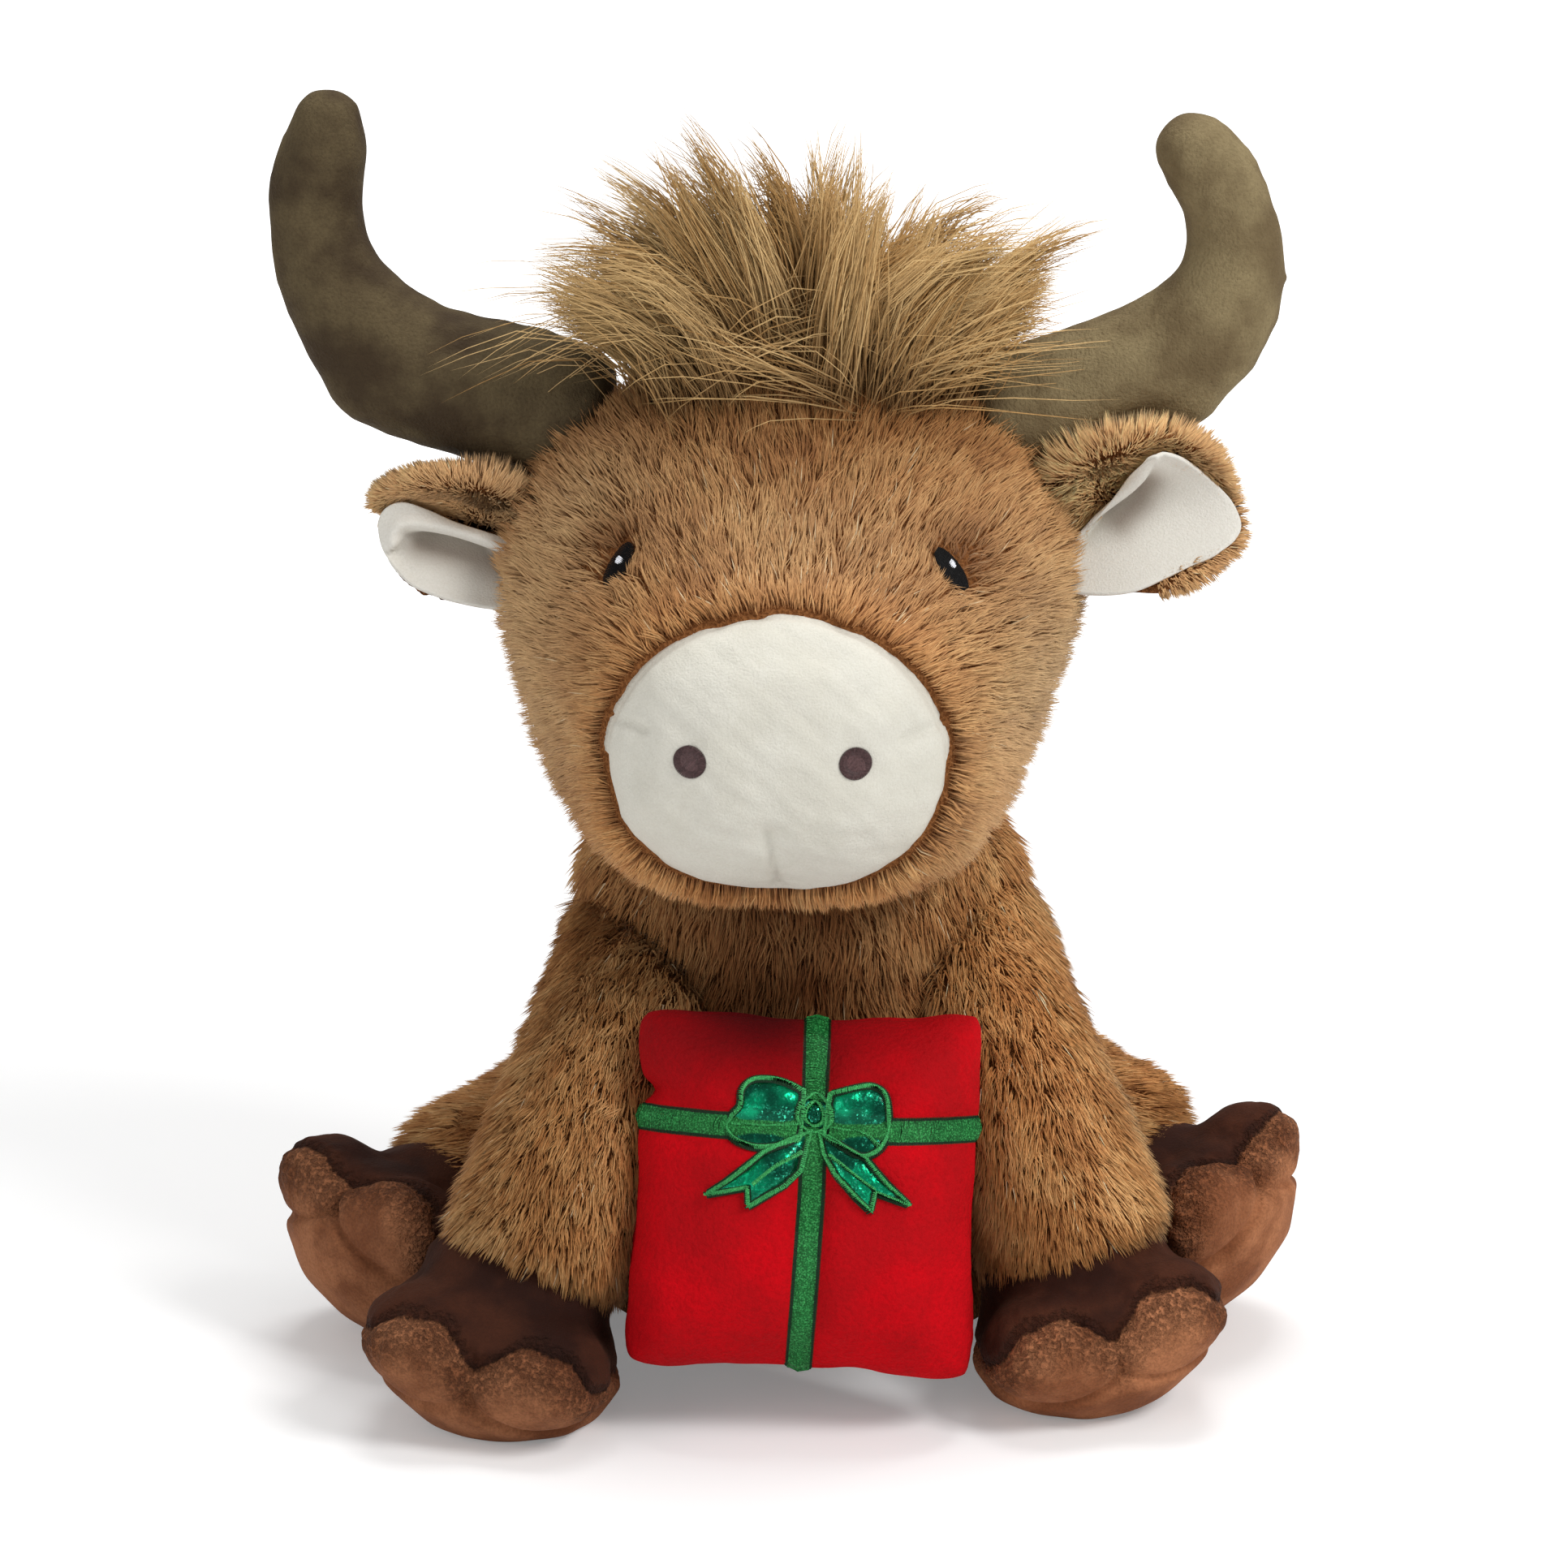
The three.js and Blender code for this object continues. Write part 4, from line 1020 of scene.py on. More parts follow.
def fur(
    name, skin, body, count, comb, keep, seed, around, length=lambda root: pile_length, lift=0.5,
    paint=coat, gather=0.62, sag=0.15, margin=0.0002, stray=0.32, radius=pile_radius,
):
    """A piece of pile: hairs rooted in the skin, combed one way, drawn together into tufts."""
    random = np.random.default_rng(seed)
    root, normal = scattered(skin, count, keep, random)
    for form in around:
        free = ~inside(root, form, margin)
        root, normal = root[free], normal[free]
    count = len(root)
    flow = comb(root, normal)
    flow = unit(flow - np.minimum(dot(flow, normal), 0) * normal)
    swirl = np.cross(normal, flow)
    bend = 0.22 * wander(root, 0.03, seed + 3) + stray * random.normal(size=(count, 1))
    flow = unit(flow + bend * swirl)
    reach = length(root) * random.uniform(0.72, 1.15, (count, 1))
    rise = lift * (1 + 0.4 * wander(root, 0.013, seed + 4) + 0.35 * random.normal(size=(count, 1)))
    rise = np.maximum(rise, 0.15)
    down = np.array((0, 0, -1.0))
    middle = root + 0.42 * reach * unit(flow + 1.7 * rise * normal)
    tip = middle + 0.58 * reach * unit(flow + 0.7 * rise * normal + sag * down)
    leaders = random.choice(count, count // 12, replace=False)
    tree = KDTree(len(leaders))
    for index, leader in enumerate(leaders):
        tree.insert(root[leader], index)
    tree.balance()
    lead = leaders[[tree.find(place)[1] for place in root.tolist()]]
    pull = gather * random.uniform(0.35, 1.2, (count, 1))
    beside = root - root[lead]
    tip += pull * (tip[lead] + 0.25 * beside - tip)
    middle += 0.5 * pull * (middle[lead] + 0.75 * beside - middle)
    for form, gap in ((surface(skin), skin_gap), *((form, other_gap) for form in around)):
        middle = cleared(middle, form, 0.8 * gap)
        tip = cleared(tip, form, gap)
    middle[:, 2] = np.maximum(middle[:, 2], floor_gap)
    tip[:, 2] = np.maximum(tip[:, 2], floor_gap)
    spine = np.stack([root - root_depth * normal, middle, tip], 1)
    widths = np.repeat(radius * random.uniform(0.7, 1.25, (count, 1)), 3, 1)
    colour = paint(root, random, seed + 5)
    # Darker at the root and lighter at the tip: partly the pile's own tone, partly painted shade deep in the
    # pile.
    colour = colour[:, None] * np.array(((0.62, 0.48, 0.4), (0.9, 0.88, 0.86), (1.22, 1.26, 1.28)))
    piece = threads(name, spine, widths, colour, normal)
    piece.data.materials.append(fur_finish)
    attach(piece, body)
    return piece


hair = Finish("fur_hairs", Roughness=0.6, Specular_IOR_Level=0.16, Sheen_Weight=0.06)
mottle = hair.mixed(hair.steps(hair.noise(900, 2), 0.3, 0.7), (200, 196, 190), (255, 255, 255))
hair.set("Base Color", hair.mixed(0.5, hair.painted("Strand", "Color"), mottle, "MULTIPLY"))
fur_finish = hair.material

lining_cloth = Finish("lining_velour", Roughness=0.86, Specular_IOR_Level=0.12, Sheen_Weight=0.1)
nap = lining_cloth.noise(1900, 2, 0.6)
pale = lining_cloth.mixed(nap, (214, 209, 197), (236, 233, 225))
# Painted shade in the lining's hollow, as far as its attribute says.
shadow = lining_cloth.painted("Hollow_shade") * 0.68
lining_cloth.set("Base Color", lining_cloth.mixed(shadow, pale, (126, 106, 90)))
lining_cloth.bump(nap, 0.0002)
lining_finish = lining_cloth.material


def bowl_terms(x, z):
    return np.stack([np.ones_like(x), x, z, x * x, x * z, z * z], -1)


def sewn_ear(way, name):
    """One ear with its lining and its pile, and the surfaces that the face's pile keeps clear of."""
    body = "ear_" + name
    back = blown("ear_back_" + name + "_plush", ["ear_back_" + name], ear_voxel, ear_swell, 16)
    places = points(back) + np.array((0, 0, ear_rise[name]))
    fold_top, fold_share = ear_fold_top[name]
    places[:, 2] -= (1 - fold_share) * np.maximum(places[:, 2] - fold_top, 0)
    set_points(back, places)
    pressed(back, ear_corner * (way, 1, 1), ear_corner_span, ear_corners[name])
    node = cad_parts["ear_lining_" + name]
    seen_side = points(node)[normals(node)[:, 1] < -0.3]
    bowl = np.linalg.lstsq(bowl_terms(seen_side[:, 0], seen_side[:, 2]), seen_side[:, 1], rcond=None)[0]
    outline = rounded(ear_linings[name] + ear_linings[name][:1])[:-1] / 1000
    centre = outline.mean(0)
    crease, under_side = ear_creases[name]
    crease = rounded(crease) / 1000
    core = np.array(hollow_shade_cores[name]) / 1000
    form = surface(back)
    low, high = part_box("ear_back_" + name)
    bare_top, bare_edge = ear_bare[name][1], ear_bare[name][0]

    def rear(x, z):
        """How far back the ear's fur side is."""
        place, _, _, _ = form.ray_cast(Vector((x, 1, z)), Vector((0, -1, 0)))
        return place.y if place else 1

    def past_crease(spot):
        """How far a spot is from the crease in millimetres, above zero on the lip's side."""
        return -1000 * under_side * from_line(spot, crease)

    def lining_front(spot, share):
        depth = float(bowl_terms(spot[0], spot[1]) @ bowl)
        met_at, _, _, _ = form.ray_cast(Vector((spot[0], -1, spot[1])), Vector((0, 1, 0)))
        if not met_at:
            met_at, _, _, _ = form.find_nearest(Vector((spot[0], depth, spot[1])))
        depth = min(depth, met_at.y)
        off = past_crease(spot)
        fade = 1 - bell(np.linalg.norm(spot - crease[0]), 0.004)
        lip = lip_height * bell(off - 2.6, 2.2) if off > 0 else 0
        dent = crease_depth * (math.exp(off / 5.5) if off < 0 else bell(off, 0.6))
        edge = np.clip((1 - share) / 0.15, 0, 1)
        rise = lip - fade * dent * edge + 0.0010 * (1 - share**8)
        return (spot[0], min(depth - rise - 0.0008, rear(spot[0], spot[1]) - ear_wall - 0.001), spot[1])

    # Painted shade: strongest along the hollow's core lines beside the crease, and a little on the lip.
    def shade(spot):
        off = past_crease(spot)
        return bell(1000 * from_line(spot, core), hollow_shade_span) if off < 0 else 0.4 * bell(off, 0.4)

    def comb(root, normal):
        out = (root - np.array((centre[0], 0, centre[1]))) * np.array((1, 0, 1))
        held = (root[:, 2:] < bare_top) & (root[:, :1] < bare_edge)
        return unit(out) * np.where(held, -1, 1) + np.array((0.5 * way, 0, 0)) + 0.3 * normal

    def keep(place, normal):
        below = (place[:, 2] < bare_top) & (place[:, 0] < bare_edge) & (normal[:, 1] < 0.7)
        behind = [y > rear(x, z) - 0.25 * ear_wall for x, y, z in place.tolist()]
        return ~(below | enclosed(place[:, [0, 2]], outline) & ~np.array(behind))

    def length(root):
        up = np.clip((root[:, 2:3] - low[2]) / (high[2] - low[2]), 0, 1)
        longest, short = ear_hairs[name]
        middle, more = ear_roots[name]
        near_head = bell(np.abs(root[:, :1]) - middle, 0.008) * (up > 0.6)
        corner = near_spot(root, ear_corner + np.array((0, 0, 0.002)), ear_corner_span) * (name == "right")
        reach = longest * (short + (1 - short) * np.clip(up * 1.6, 0, 1))
        return reach * (1 - 0.4 * corner) + more * near_head

    def paint(root, random, seed):
        colour = coat(root, random, seed)
        # Painted lighter than the body's pile, and lighter still by the right ear's lining, as painted
        # light; darker by the left ear's root, as painted shade.
        inner = near_spot(root, (0.073, -0.01, 0.206), (0.014, 0.03, 0.012))
        inner = inner - 0.8 * near_spot(root, (-0.066, 0, 0.2), (0.009, 0.05, 0.02))
        light, pale = ear_painted_lights[name]
        return light * (colour + pale * (fur_pale - colour)) * (1 + 0.4 * inner)

    lining = quilted("ear_lining_" + name + "_velour", outline, centre, lining_rings, lining_front)
    eased(lining, 3)
    finished(lining, "SOLIDIFY", thickness=lining_wall, offset=-1)
    places = points(back)
    trim, trim_top = ear_trims[name]
    low_side = ~enclosed(places[:, [0, 2]], outline) & (places[:, 2] < trim_top)
    places[:, [0, 2]] += low_side[:, None] * trim * unit(centre - places[:, [0, 2]])
    sunk = bell(from_edge(places[:, [0, 2]], outline), 0.0022) * (normals(back)[:, 1] < 0.2)
    places[:, 1] += 0.0024 * sunk
    for index in np.flatnonzero(enclosed(places[:, [0, 2]], outline)):
        far = rear(places[index, 0], places[index, 2])
        if far < 1:
            places[index, 1] = max(places[index, 1], far - 0.5 * ear_wall)
    set_points(back, places)
    sewn(back, "ear_back_" + name, body, backing_finish)
    attribute(lining, "Hollow_shade", [shade(spot) for spot in points(lining)[:, [0, 2]]])
    sewn(lining, "ear_lining_" + name, body, lining_finish)
    forms = [surface(back), surface(lining)]
    fur(
        "ear_fur_" + name, back, body, ear_hair_count, comb, keep, 50 + way, forms[1:], paint=paint,
        length=length, lift=0.75, radius=0.00018, margin=0.0005, gather=0.3, stray=0.3, sag=0.0,
    )
    return forms


ear_forms = [form for way, name in both_sides for form in sewn_ear(way, name)]

# Hooves
# Four stuffed velour hooves, each with a dark brown upper over a lighter sole that wraps up over two toes.
# The sole's pile is ruffled where it is gathered into the seam, and painted shade darkens the ruffles. The
# right hooves' velour is painted lighter, as painted light.
hoof_voxel = 0.0022
hoof_swell = 0.0006
hoof_wall = 0.0024
seam_height = 0.0150
toe_rise = 0.0080
toe_out = 0.0140
toe_width = 0.0105
seam_blur = 0.0014
seam_groove = 0.0009
ruffle_reach = 0.0075
cleft_width = 0.0022
cleft_depth = 0.0016
cap_half = (0.0148, 0.0098)
cap_height = 0.0125
cap_puff = 0.0020
cap_groove = 0.0016
# Each hoof's place across, forwards and up, and its turn, pitch and roll in degrees.
hoof_places = {
    ("fore", "left"): (-0.0705, 0.068, 0.004, -9, 5, -13),
    ("fore", "right"): (0.072, 0.057, 0.005, 9, 8, 13),
    ("hind", "left"): (-0.1025, 0.024, 0.014, -34, 46, -14),
    ("hind", "right"): (0.105, 0.016, 0.0185, 36, 46, 24),
}


def hoof_finish(name, light):
    """One velour in two browns, parted by the seam, with its pile in ruffles below it, darkened there with
    painted shade. Light above 1 makes a copy painted lighter, as painted light.
    """
    tint = (*linear((150, 104, 78)), 1)
    cloth = Finish("hoof_velour_" + name, Specular_IOR_Level=0.12, Sheen_Weight=0.1, Sheen_Tint=tint)
    seam = cloth.painted("Seam")
    gather = cloth.painted("Ruffle")
    wide = cloth.steps(cloth.noise(55, 3, 0.6), 0.36, 0.64)
    fine = cloth.noise(1500, 2, 0.6)
    ruffle = cloth.noise(880, 3, 0.6)
    upper = cloth.mixed(wide, light * np.array((38, 16, 9)), light * np.array((64, 34, 22)))
    sole = cloth.mixed(wide, light * np.array((120, 72, 45)), light * np.array((160, 106, 73)))
    parted = cloth.steps(seam + 0.5 * (cloth.noise(800, 2) - 0.5), 0.35, 0.65)
    colour = cloth.mixed(parted, sole, upper)
    # Fine specks, and painted shade in the gathered ruffles.
    shade = cloth.steps(fine, 0.3, 0.75) * 0.3 + gather * cloth.steps(ruffle, 0.4, 0.62) * 0.42
    cloth.set("Base Color", cloth.mixed(shade, colour, (40, 20, 12)))
    cloth.set("Roughness", 0.78 + 0.14 * wide)
    ridges = 1.6 * gather * cloth.steps(ruffle, 0.35, 0.7)
    cloth.bump(0.35 * fine + 0.2 * cloth.noise(520, 2) - ridges, 0.0007)
    return cloth.material


# The right hooves' velour is painted 13 per cent lighter: painted light.
hoof_velours = {"left": hoof_finish("left", 1), "right": hoof_finish("right", 1.13)}
hoof_forms = {}
for (leg, name), (out, forward, height, turn, pitch, roll) in hoof_places.items():
    body = "forelegs" if leg == "fore" else "hind_leg_" + name
    nodes = [leg + "_hoof_upper_" + name, leg + "_hoof_sole_" + name]
    hoof = blown(leg + "_hoof_" + name, nodes, hoof_voxel, hoof_swell, 10)
    spin = Matrix.Rotation(math.pi + math.radians(turn), 3, "Z")
    spin = spin @ Matrix.Rotation(math.radians(pitch), 3, "X") @ Matrix.Rotation(math.radians(roll), 3, "Y")
    own = (points(hoof) - np.array((out, -forward, height))) @ np.array(spin)
    across, ahead, up = own.T
    away = np.abs(np.abs(across) - toe_out)
    outwards = np.clip(across * (1 if name == "left" else -1) / 0.004, 0, 1)
    toes = bell(away, toe_width, 4) * (1 - (0.8 * outwards if leg == "hind" else 0))
    front = np.clip((ahead - 0.001) / 0.012, 0, 1)
    seam = seam_height + toe_rise * toes * front + 0.0006 * wander(own, 0.011, 15)[:, 0]
    over = (up - seam) / seam_blur
    places = points(hoof)
    ruffled = bell(up - seam + 0.35 * ruffle_reach, ruffle_reach) * (0.35 + 0.65 * front)
    wrinkle = wander(own * np.array((1, 1, 0.45)), 0.0034, 16)[:, 0]
    cleft = bell(across, cleft_width) * front * np.clip((up + 0.002) / 0.01, 0, 1)
    rise = 0.0004 * ruffled * wrinkle - seam_groove * bell(over, 1)
    rise -= cleft_depth * cleft * (up < seam + 0.003)
    rim = np.hypot(away / cap_half[0], (up - cap_height) / cap_half[1])
    lower = front * np.clip((cap_height - up) / 0.005, 0, 1)
    rise += cap_puff * front * np.clip(1 - rim**2, 0, 1) - cap_groove * lower * bell(rim - 1.02, 0.1)
    set_points(hoof, places + normals(hoof) * rise[:, None])
    attribute(hoof, "Seam", 1 / (1 + np.exp(-2.2 * over)))
    attribute(hoof, "Ruffle", ruffled * (up < seam + 0.002))
    hoof_forms[leg, name] = surface(hoof)
    for node, slot, wanted in zip(nodes, ("dark_velour", "sole_velour"), (True, False)):
        half = linked(node + "_plush", hoof.data.copy())
        shape = bmesh.new()
        shape.from_mesh(half.data)
        shape.verts.ensure_lookup_table()
        spare = [f for f in shape.faces if (np.mean([over[v.index] for v in f.verts]) > 0) != wanted]
        bmesh.ops.delete(shape, geom=spare, context="FACES")
        shape.to_mesh(half.data)
        shape.free()
        outer_shell(half)
        finished(half, "SOLIDIFY", thickness=hoof_wall, offset=-1)
        sewn(half, node, body, hoof_velours[name])
    bpy.data.objects.remove(hoof)

# Gift
# A small red velour cushion, tacked between the front legs, drawn in between its corners and along the
# embroidered ribbons. A painted shadow of the head darkens the top of its front.
gift_offset = 0.0024
gift_forward = 0.067
gift_height = 0.0535
gift_lean = math.radians(16)
gift_roll = math.radians(2.2)
ribbon_offset = 0.0015
bow_rise = 0.0185
gift_half = (0.0385, 0.0415)
front_half = (0.0392, 0.0425)
notch_height = 0.0215
gift_draw = 0.04
gift_stretch = np.array((0.085, 0.02))
gift_puff = 0.0055
gift_voxel = 0.0022
gift_swell = 0.0012
gift = blown("gift_plush", ["gift_cushion"], gift_voxel, gift_swell, 14)
gift_frame = Matrix.Translation((gift_offset, -gift_forward, gift_height))
gift_frame @= Matrix.Rotation(-gift_lean, 4, "X") @ Matrix.Rotation(gift_roll, 4, "Y")
turn = np.array(gift_frame.to_3x3())
places = (points(gift) - np.array(gift_frame.translation)) @ turn
edge_pinch = bell(places[:, 1:2], 0.0013)
beside = places[:, :1] + gift_half[0]
above = places[:, 2:] - notch_height
notch = bell(beside, 0.007) * bell(above, 0.0022)
fold = bell(beside, 0.014) * bell(above, 0.009)
change = -normals(gift) * (0.0011 * edge_pinch + 0.0036 * notch + 0.0012 * fold)
change += normals(gift) * 0.0004 * wander(points(gift), 0.018, 61)
share = places[:, [0, 2]] / np.array(gift_half)
corner = np.clip((np.abs(share).min(1) - 0.74) / 0.26, 0, 1)[:, None]
drawn = gift_draw * (1 - share[:, ::-1] ** 2) + 0.02 * corner
squeeze = np.clip(1 - np.abs(share), 0, 1).min(1)
puff = gift_puff * np.sin(np.clip(squeeze * 1.4, 0, 1) * math.pi / 2)
puff *= 1 - 0.5 * bell(places[:, 0] - ribbon_offset, 0.0042)
puff *= 1 - 0.4 * bell(places[:, 2] - bow_rise + 0.003, 0.0042)
shift = np.zeros_like(places)
shift[:, [0, 2]] = places[:, [0, 2]] * (gift_stretch - drawn) * np.abs(share) ** 2
pulled = np.abs(share.prod(1)) ** 3
corner_rise = np.where(share[:, 1] > 0, 0.0022 + 0.0010 * share[:, 0], -0.0010 - 0.0012 * share[:, 0])
shift[:, 2] += pulled * corner_rise
shift[:, 1] = -puff * (places[:, 1] < -0.002)
set_points(gift, points(gift) + change + shift @ turn.T)
# Painted shadow of the head and muzzle across the top of the front, a little left of the middle.
brushed = 0.97 * bell(share[:, 0] + 0.3, 0.72) * bell(0.98 - share[:, 1], 0.4)
attribute(gift, "Head_shadow", brushed * (places[:, 1] < 0.004))
red_finish = velour("red_velour", (136, 0, 6), (194, 0, 14), (212, 4, 20), 45, 0.35, 900, 0.0005, 0.05, True)
sewn(gift, "gift_cushion", "forelegs", red_finish)
gift_form = surface(gift)
facing_way = gift_frame.to_3x3() @ Vector((0, 1, 0))


def on_gift(form, across, up):
    """Where the gift's front is, at a place in its own width and height."""
    start = gift_frame @ Vector((across, -0.1, up))
    place, normal, _, _ = form.ray_cast(start, facing_way)
    if place is None:
        edge = gift_frame @ Vector((across, 0, up))
        place, normal, _, _ = form.find_nearest(edge)
    return np.array(place), np.array(normal)


def stitched_line(name, route, half, pitch, raised, colours, lean, radius=thread_radius):
    """Satin stitches across a route on the gift's front."""
    route = np.array(route)
    steps = np.linalg.norm(np.diff(route, axis=0), axis=1)
    total = np.concatenate([[0], np.cumsum(steps)])
    at = np.arange(pitch / 2, total[-1], pitch)
    behind, middle, ahead = (
        np.stack([np.interp(at + shift, total, route[:, axis]) for axis in (0, 1)], 1)
        for shift in (-0.0004, 0, 0.0004)
    )
    way = unit(ahead - behind)
    side = np.stack([-way[:, 1], way[:, 0]], 1) + lean * way
    starts, ends = middle - half * side, middle + half * side
    return stitched(name, starts, ends, raised, gift_form, colours(len(at)), radius, on_gift)


# Ribbons
# Embroidered in green satin stitch: one down the middle, and one across it that sags towards the bow. Each
# lies on a wider bed of dark stitches, a painted shade along its edges.
ribbon_half = 0.003
ribbon_sag = 0.0034
ribbon_raise = 0.0013
ribbon_lean = 0.12
ribbon_bed_margin = 0.0005
ribbon_bed_raise = 0.0006
green = (20, 112, 48)


def tinted(*settings):
    """Gives the colours of any number of stitches."""
    return lambda count: thread_colours(count, *settings)


# Dark stitches, a little wider than the ribbons and cords they lie under: painted shade along their edges.
shade_bed_tints = tinted((6, 46, 20), 0.1, 82)
ribbon_routes = {
    "top": [(ribbon_offset, front_half[1] - 0.0004), (ribbon_offset, bow_rise + 0.003)],
    "bottom": [
        (ribbon_offset, bow_rise - 0.003),
        (ribbon_offset, 0),
        (ribbon_offset - 0.0015, -front_half[1] + 0.0006),
    ],
}
for side, name in both_sides:
    reach = np.arange(1, 11) / 10
    across = ribbon_offset + side * reach * (front_half[0] - side * ribbon_offset)
    ribbon_routes[name] = np.stack([across, bow_rise - ribbon_sag * np.cos(reach * math.pi / 4)], 1)
for seed, (name, route) in enumerate(ribbon_routes.items()):
    whole = "ribbon_" + name + "_satin"
    ribbon_tints = tinted(green, 0.1, 70 + seed, 0.08)
    wider = ribbon_half + ribbon_bed_margin
    bed = stitched_line(
        whole + "_bed", route, wider, thread_pitch, ribbon_bed_raise, shade_bed_tints, ribbon_lean
    )
    ribbon = stitched_line(whole, route, ribbon_half, thread_pitch, ribbon_raise, ribbon_tints, ribbon_lean)
    sewn(joined(whole, ribbon, bed), "ribbon_" + name, "forelegs", green_satin)

# Bow
# Loops and tails of dark green foil cloth, edged with a light green cord of short stitches, around a
# knot ring that holds a round foil gem.
left_loop = [(-3, 4.8), (-6.3, 6.4), (-9.9, 7.2), (-14.1, 6.9), (-16.4, 4.8), (-16.7, 1.5), (-18.5, -0.9),
             (-19.1, -3.9), (-17.6, -6.3), (-13.5, -7.7), (-8.7, -7.5), (-5.1, -6.3), (-3.3, -5.1)]
right_loop = [(3.8, 4.5), (8.6, 6), (12.2, 6.6), (15.1, 5.4), (16.3, 2.7), (16.6, -0.9), (16.3, -4.5),
              (14.5, -7.5), (11, -8.9), (7.4, -7.5), (3.8, -5.1), (2.6, -4.2)]
left_fold = [(-18.2, -2.4), (-11, -2.9), (-3.9, -2.1)]
right_fold = [(4.1, -2.7), (10.4, -3.9), (14.5, -6.8)]
left_tail = [(-0.6, -3.6), (-11.1, -8.9), (-19.4, -15.8), (-23, -18.5), (-14.1, -16.6), (-13.8, -20.7),
             (-6.3, -15.8), (-3.2, -12.4), (-1.8, -7)]
right_tail = [(1.4, -4), (2.6, -8.4), (5.6, -13.4), (9.8, -17.9), (13, -20.7), (13.8, -16.7), (21.4, -19.1),
              (16.6, -14.6), (11.9, -9.5), (4.5, -6.3)]
cord_half = 0.0005
cord_raise = 0.0017
cord_pitch = 0.0004
cord_lean = 0.35
cord_thread = 0.00024
bed_half = 0.00095
bed_raise = 0.0011
foil_raise = 0.0009
cord_tints = tinted((62, 170, 94), 0.08, 81, 0.4)

foil = Finish("green_foil", Roughness=0.28, Metallic=0.9, Coat_Weight=0.08)
cells = foil.node("ShaderNodeTexVoronoi", {}, {"Vector": foil.place(), "Scale": 2600.0}, "Color")
pick = foil.node("ShaderNodeSeparateColor", {}, {"Color": cells}, 0)
streak = foil.steps(foil.noise(330, 3, 0.7), 0.48, 0.66)
sweep = foil.steps(foil.noise(130, 1), 0.42, 0.6)
# Flakes lit up in the base colour: painted sparkle.
shine_share = foil.steps(pick, 0.7, 0.96) * (0.08 + 0.92 * streak)
deep_green = foil.mixed(sweep, (0, 80, 58), (0, 150, 104))
foil.set("Base Color", foil.mixed(shine_share, deep_green, (70, 226, 180)))
foil.set("Roughness", 0.4 - 0.22 * pick)
foil.bump(pick + 2.2 * foil.noise(420, 2), 0.00022)
foil_finish = foil.material


def bow_place(spot):
    return ribbon_offset + spot[0] / 1000, bow_rise + spot[1] / 1000


def foil_patch(name, node, outline, centre, raised=foil_raise):
    """A padded patch of foil cloth on the gift's front."""

    def front(spot, share):
        place, normal = on_gift(gift_form, *bow_place(spot))
        return place + normal * (raised * (1 - share**6) + 0.0001)

    def back(spot):
        place, normal = on_gift(gift_form, *bow_place(spot))
        return place - normal * 0.0008

    patch = quilted(name, np.array(outline, float), np.array(centre, float), 7, front, back)
    return sewn(patch, node, "forelegs", foil_finish)


def corded(name, spots):
    """A light cord over a wider dark one, along a line; the dark one is a painted shade along the cord's
    edges.
    """
    route = [bow_place(spot) for spot in spots]
    strands = []
    for label, half, raised, tints in (
        (name, cord_half, cord_raise, cord_tints),
        (name + "_bed", bed_half, bed_raise, shade_bed_tints),
    ):
        strands.append(stitched_line(label, route, half, cord_pitch, raised, tints, cord_lean, cord_thread))
    return sewn(joined(name, *strands), None, "forelegs", green_satin)


bow_parts = {
    "bow_loop_left": (rounded(left_loop + left_loop[:1]), (-11, -0.5), left_fold),
    "bow_loop_right": (rounded(right_loop + right_loop[:1]), (10, -0.5), right_fold),
    "bow_tail_left": (left_tail + left_tail[:1], (-9, -12), [(-3, -8.5), (-8.5, -12), (-13, -16)]),
    "bow_tail_right": (right_tail + right_tail[:1], (9.5, -13), [(4, -9), (9, -13), (13.5, -16)]),
}
for name, (outline, centre, fold) in bow_parts.items():
    foil_patch(name + "_foil", name, outline[:-1], centre)
    corded(name + "_cord", outline)
    corded(name + "_fold", rounded(fold))

knot_radius = 4.1
gem_radius = 2.5
turns = np.linspace(0, 2 * math.pi, 41)
circle = np.stack([np.cos(turns), np.sin(turns)], 1)
foil_patch("bow_knot_foil", "bow_knot", knot_radius * circle[:-1], (0, 0))
corded("bow_knot_cord", knot_radius * circle)
foil_patch("knot_gem_foil", "knot_gem", gem_radius * circle[:-1], (0, 0), 0.0016)
corded("knot_gem_cord", gem_radius * circle)

# Front legs
# Sleeves of fur fabric from the shoulders to the hooves, whose pile hangs over the hooves as a fringe.
torso_form = surface(torso)
thigh_presses = {
    "left": ((-0.082, 0.015, 0.062), (0.03, 0.05, 0.022), (0.005, 0, -0.006)),
    "right": ((0.086, 0.015, 0.068), (0.03, 0.05, 0.022), (-0.005, 0, -0.005)),
}
leg_starts = {"left": (-0.031, 0.002, 0.098), "right": (0.038, 0.002, 0.098)}
leg_voxel = 0.003
leg_swell = 0.001
leg_pile = {"fore": 0.0088, "hind": 0.0072}
# The right legs' pile is painted lighter: painted light.
leg_painted_light = {"left": 1.0, "right": 1.24}
legs = {}
for name in ("left", "right"):
    for kind, node, body in (("fore", "foreleg_", "forelegs"), ("hind", "hind_leg_", "hind_leg_" + name)):
        leg = blown(node + name + "_plush", [node + name], leg_voxel, leg_swell)
        if kind == "hind":
            pressed(leg, *thigh_presses[name])
        legs[kind, name] = sewn(leg, node + name, body, backing_finish)
leg_forms = {key: surface(leg) for key, leg in legs.items()}


def everywhere(place, normal):
    return np.ones(len(place))


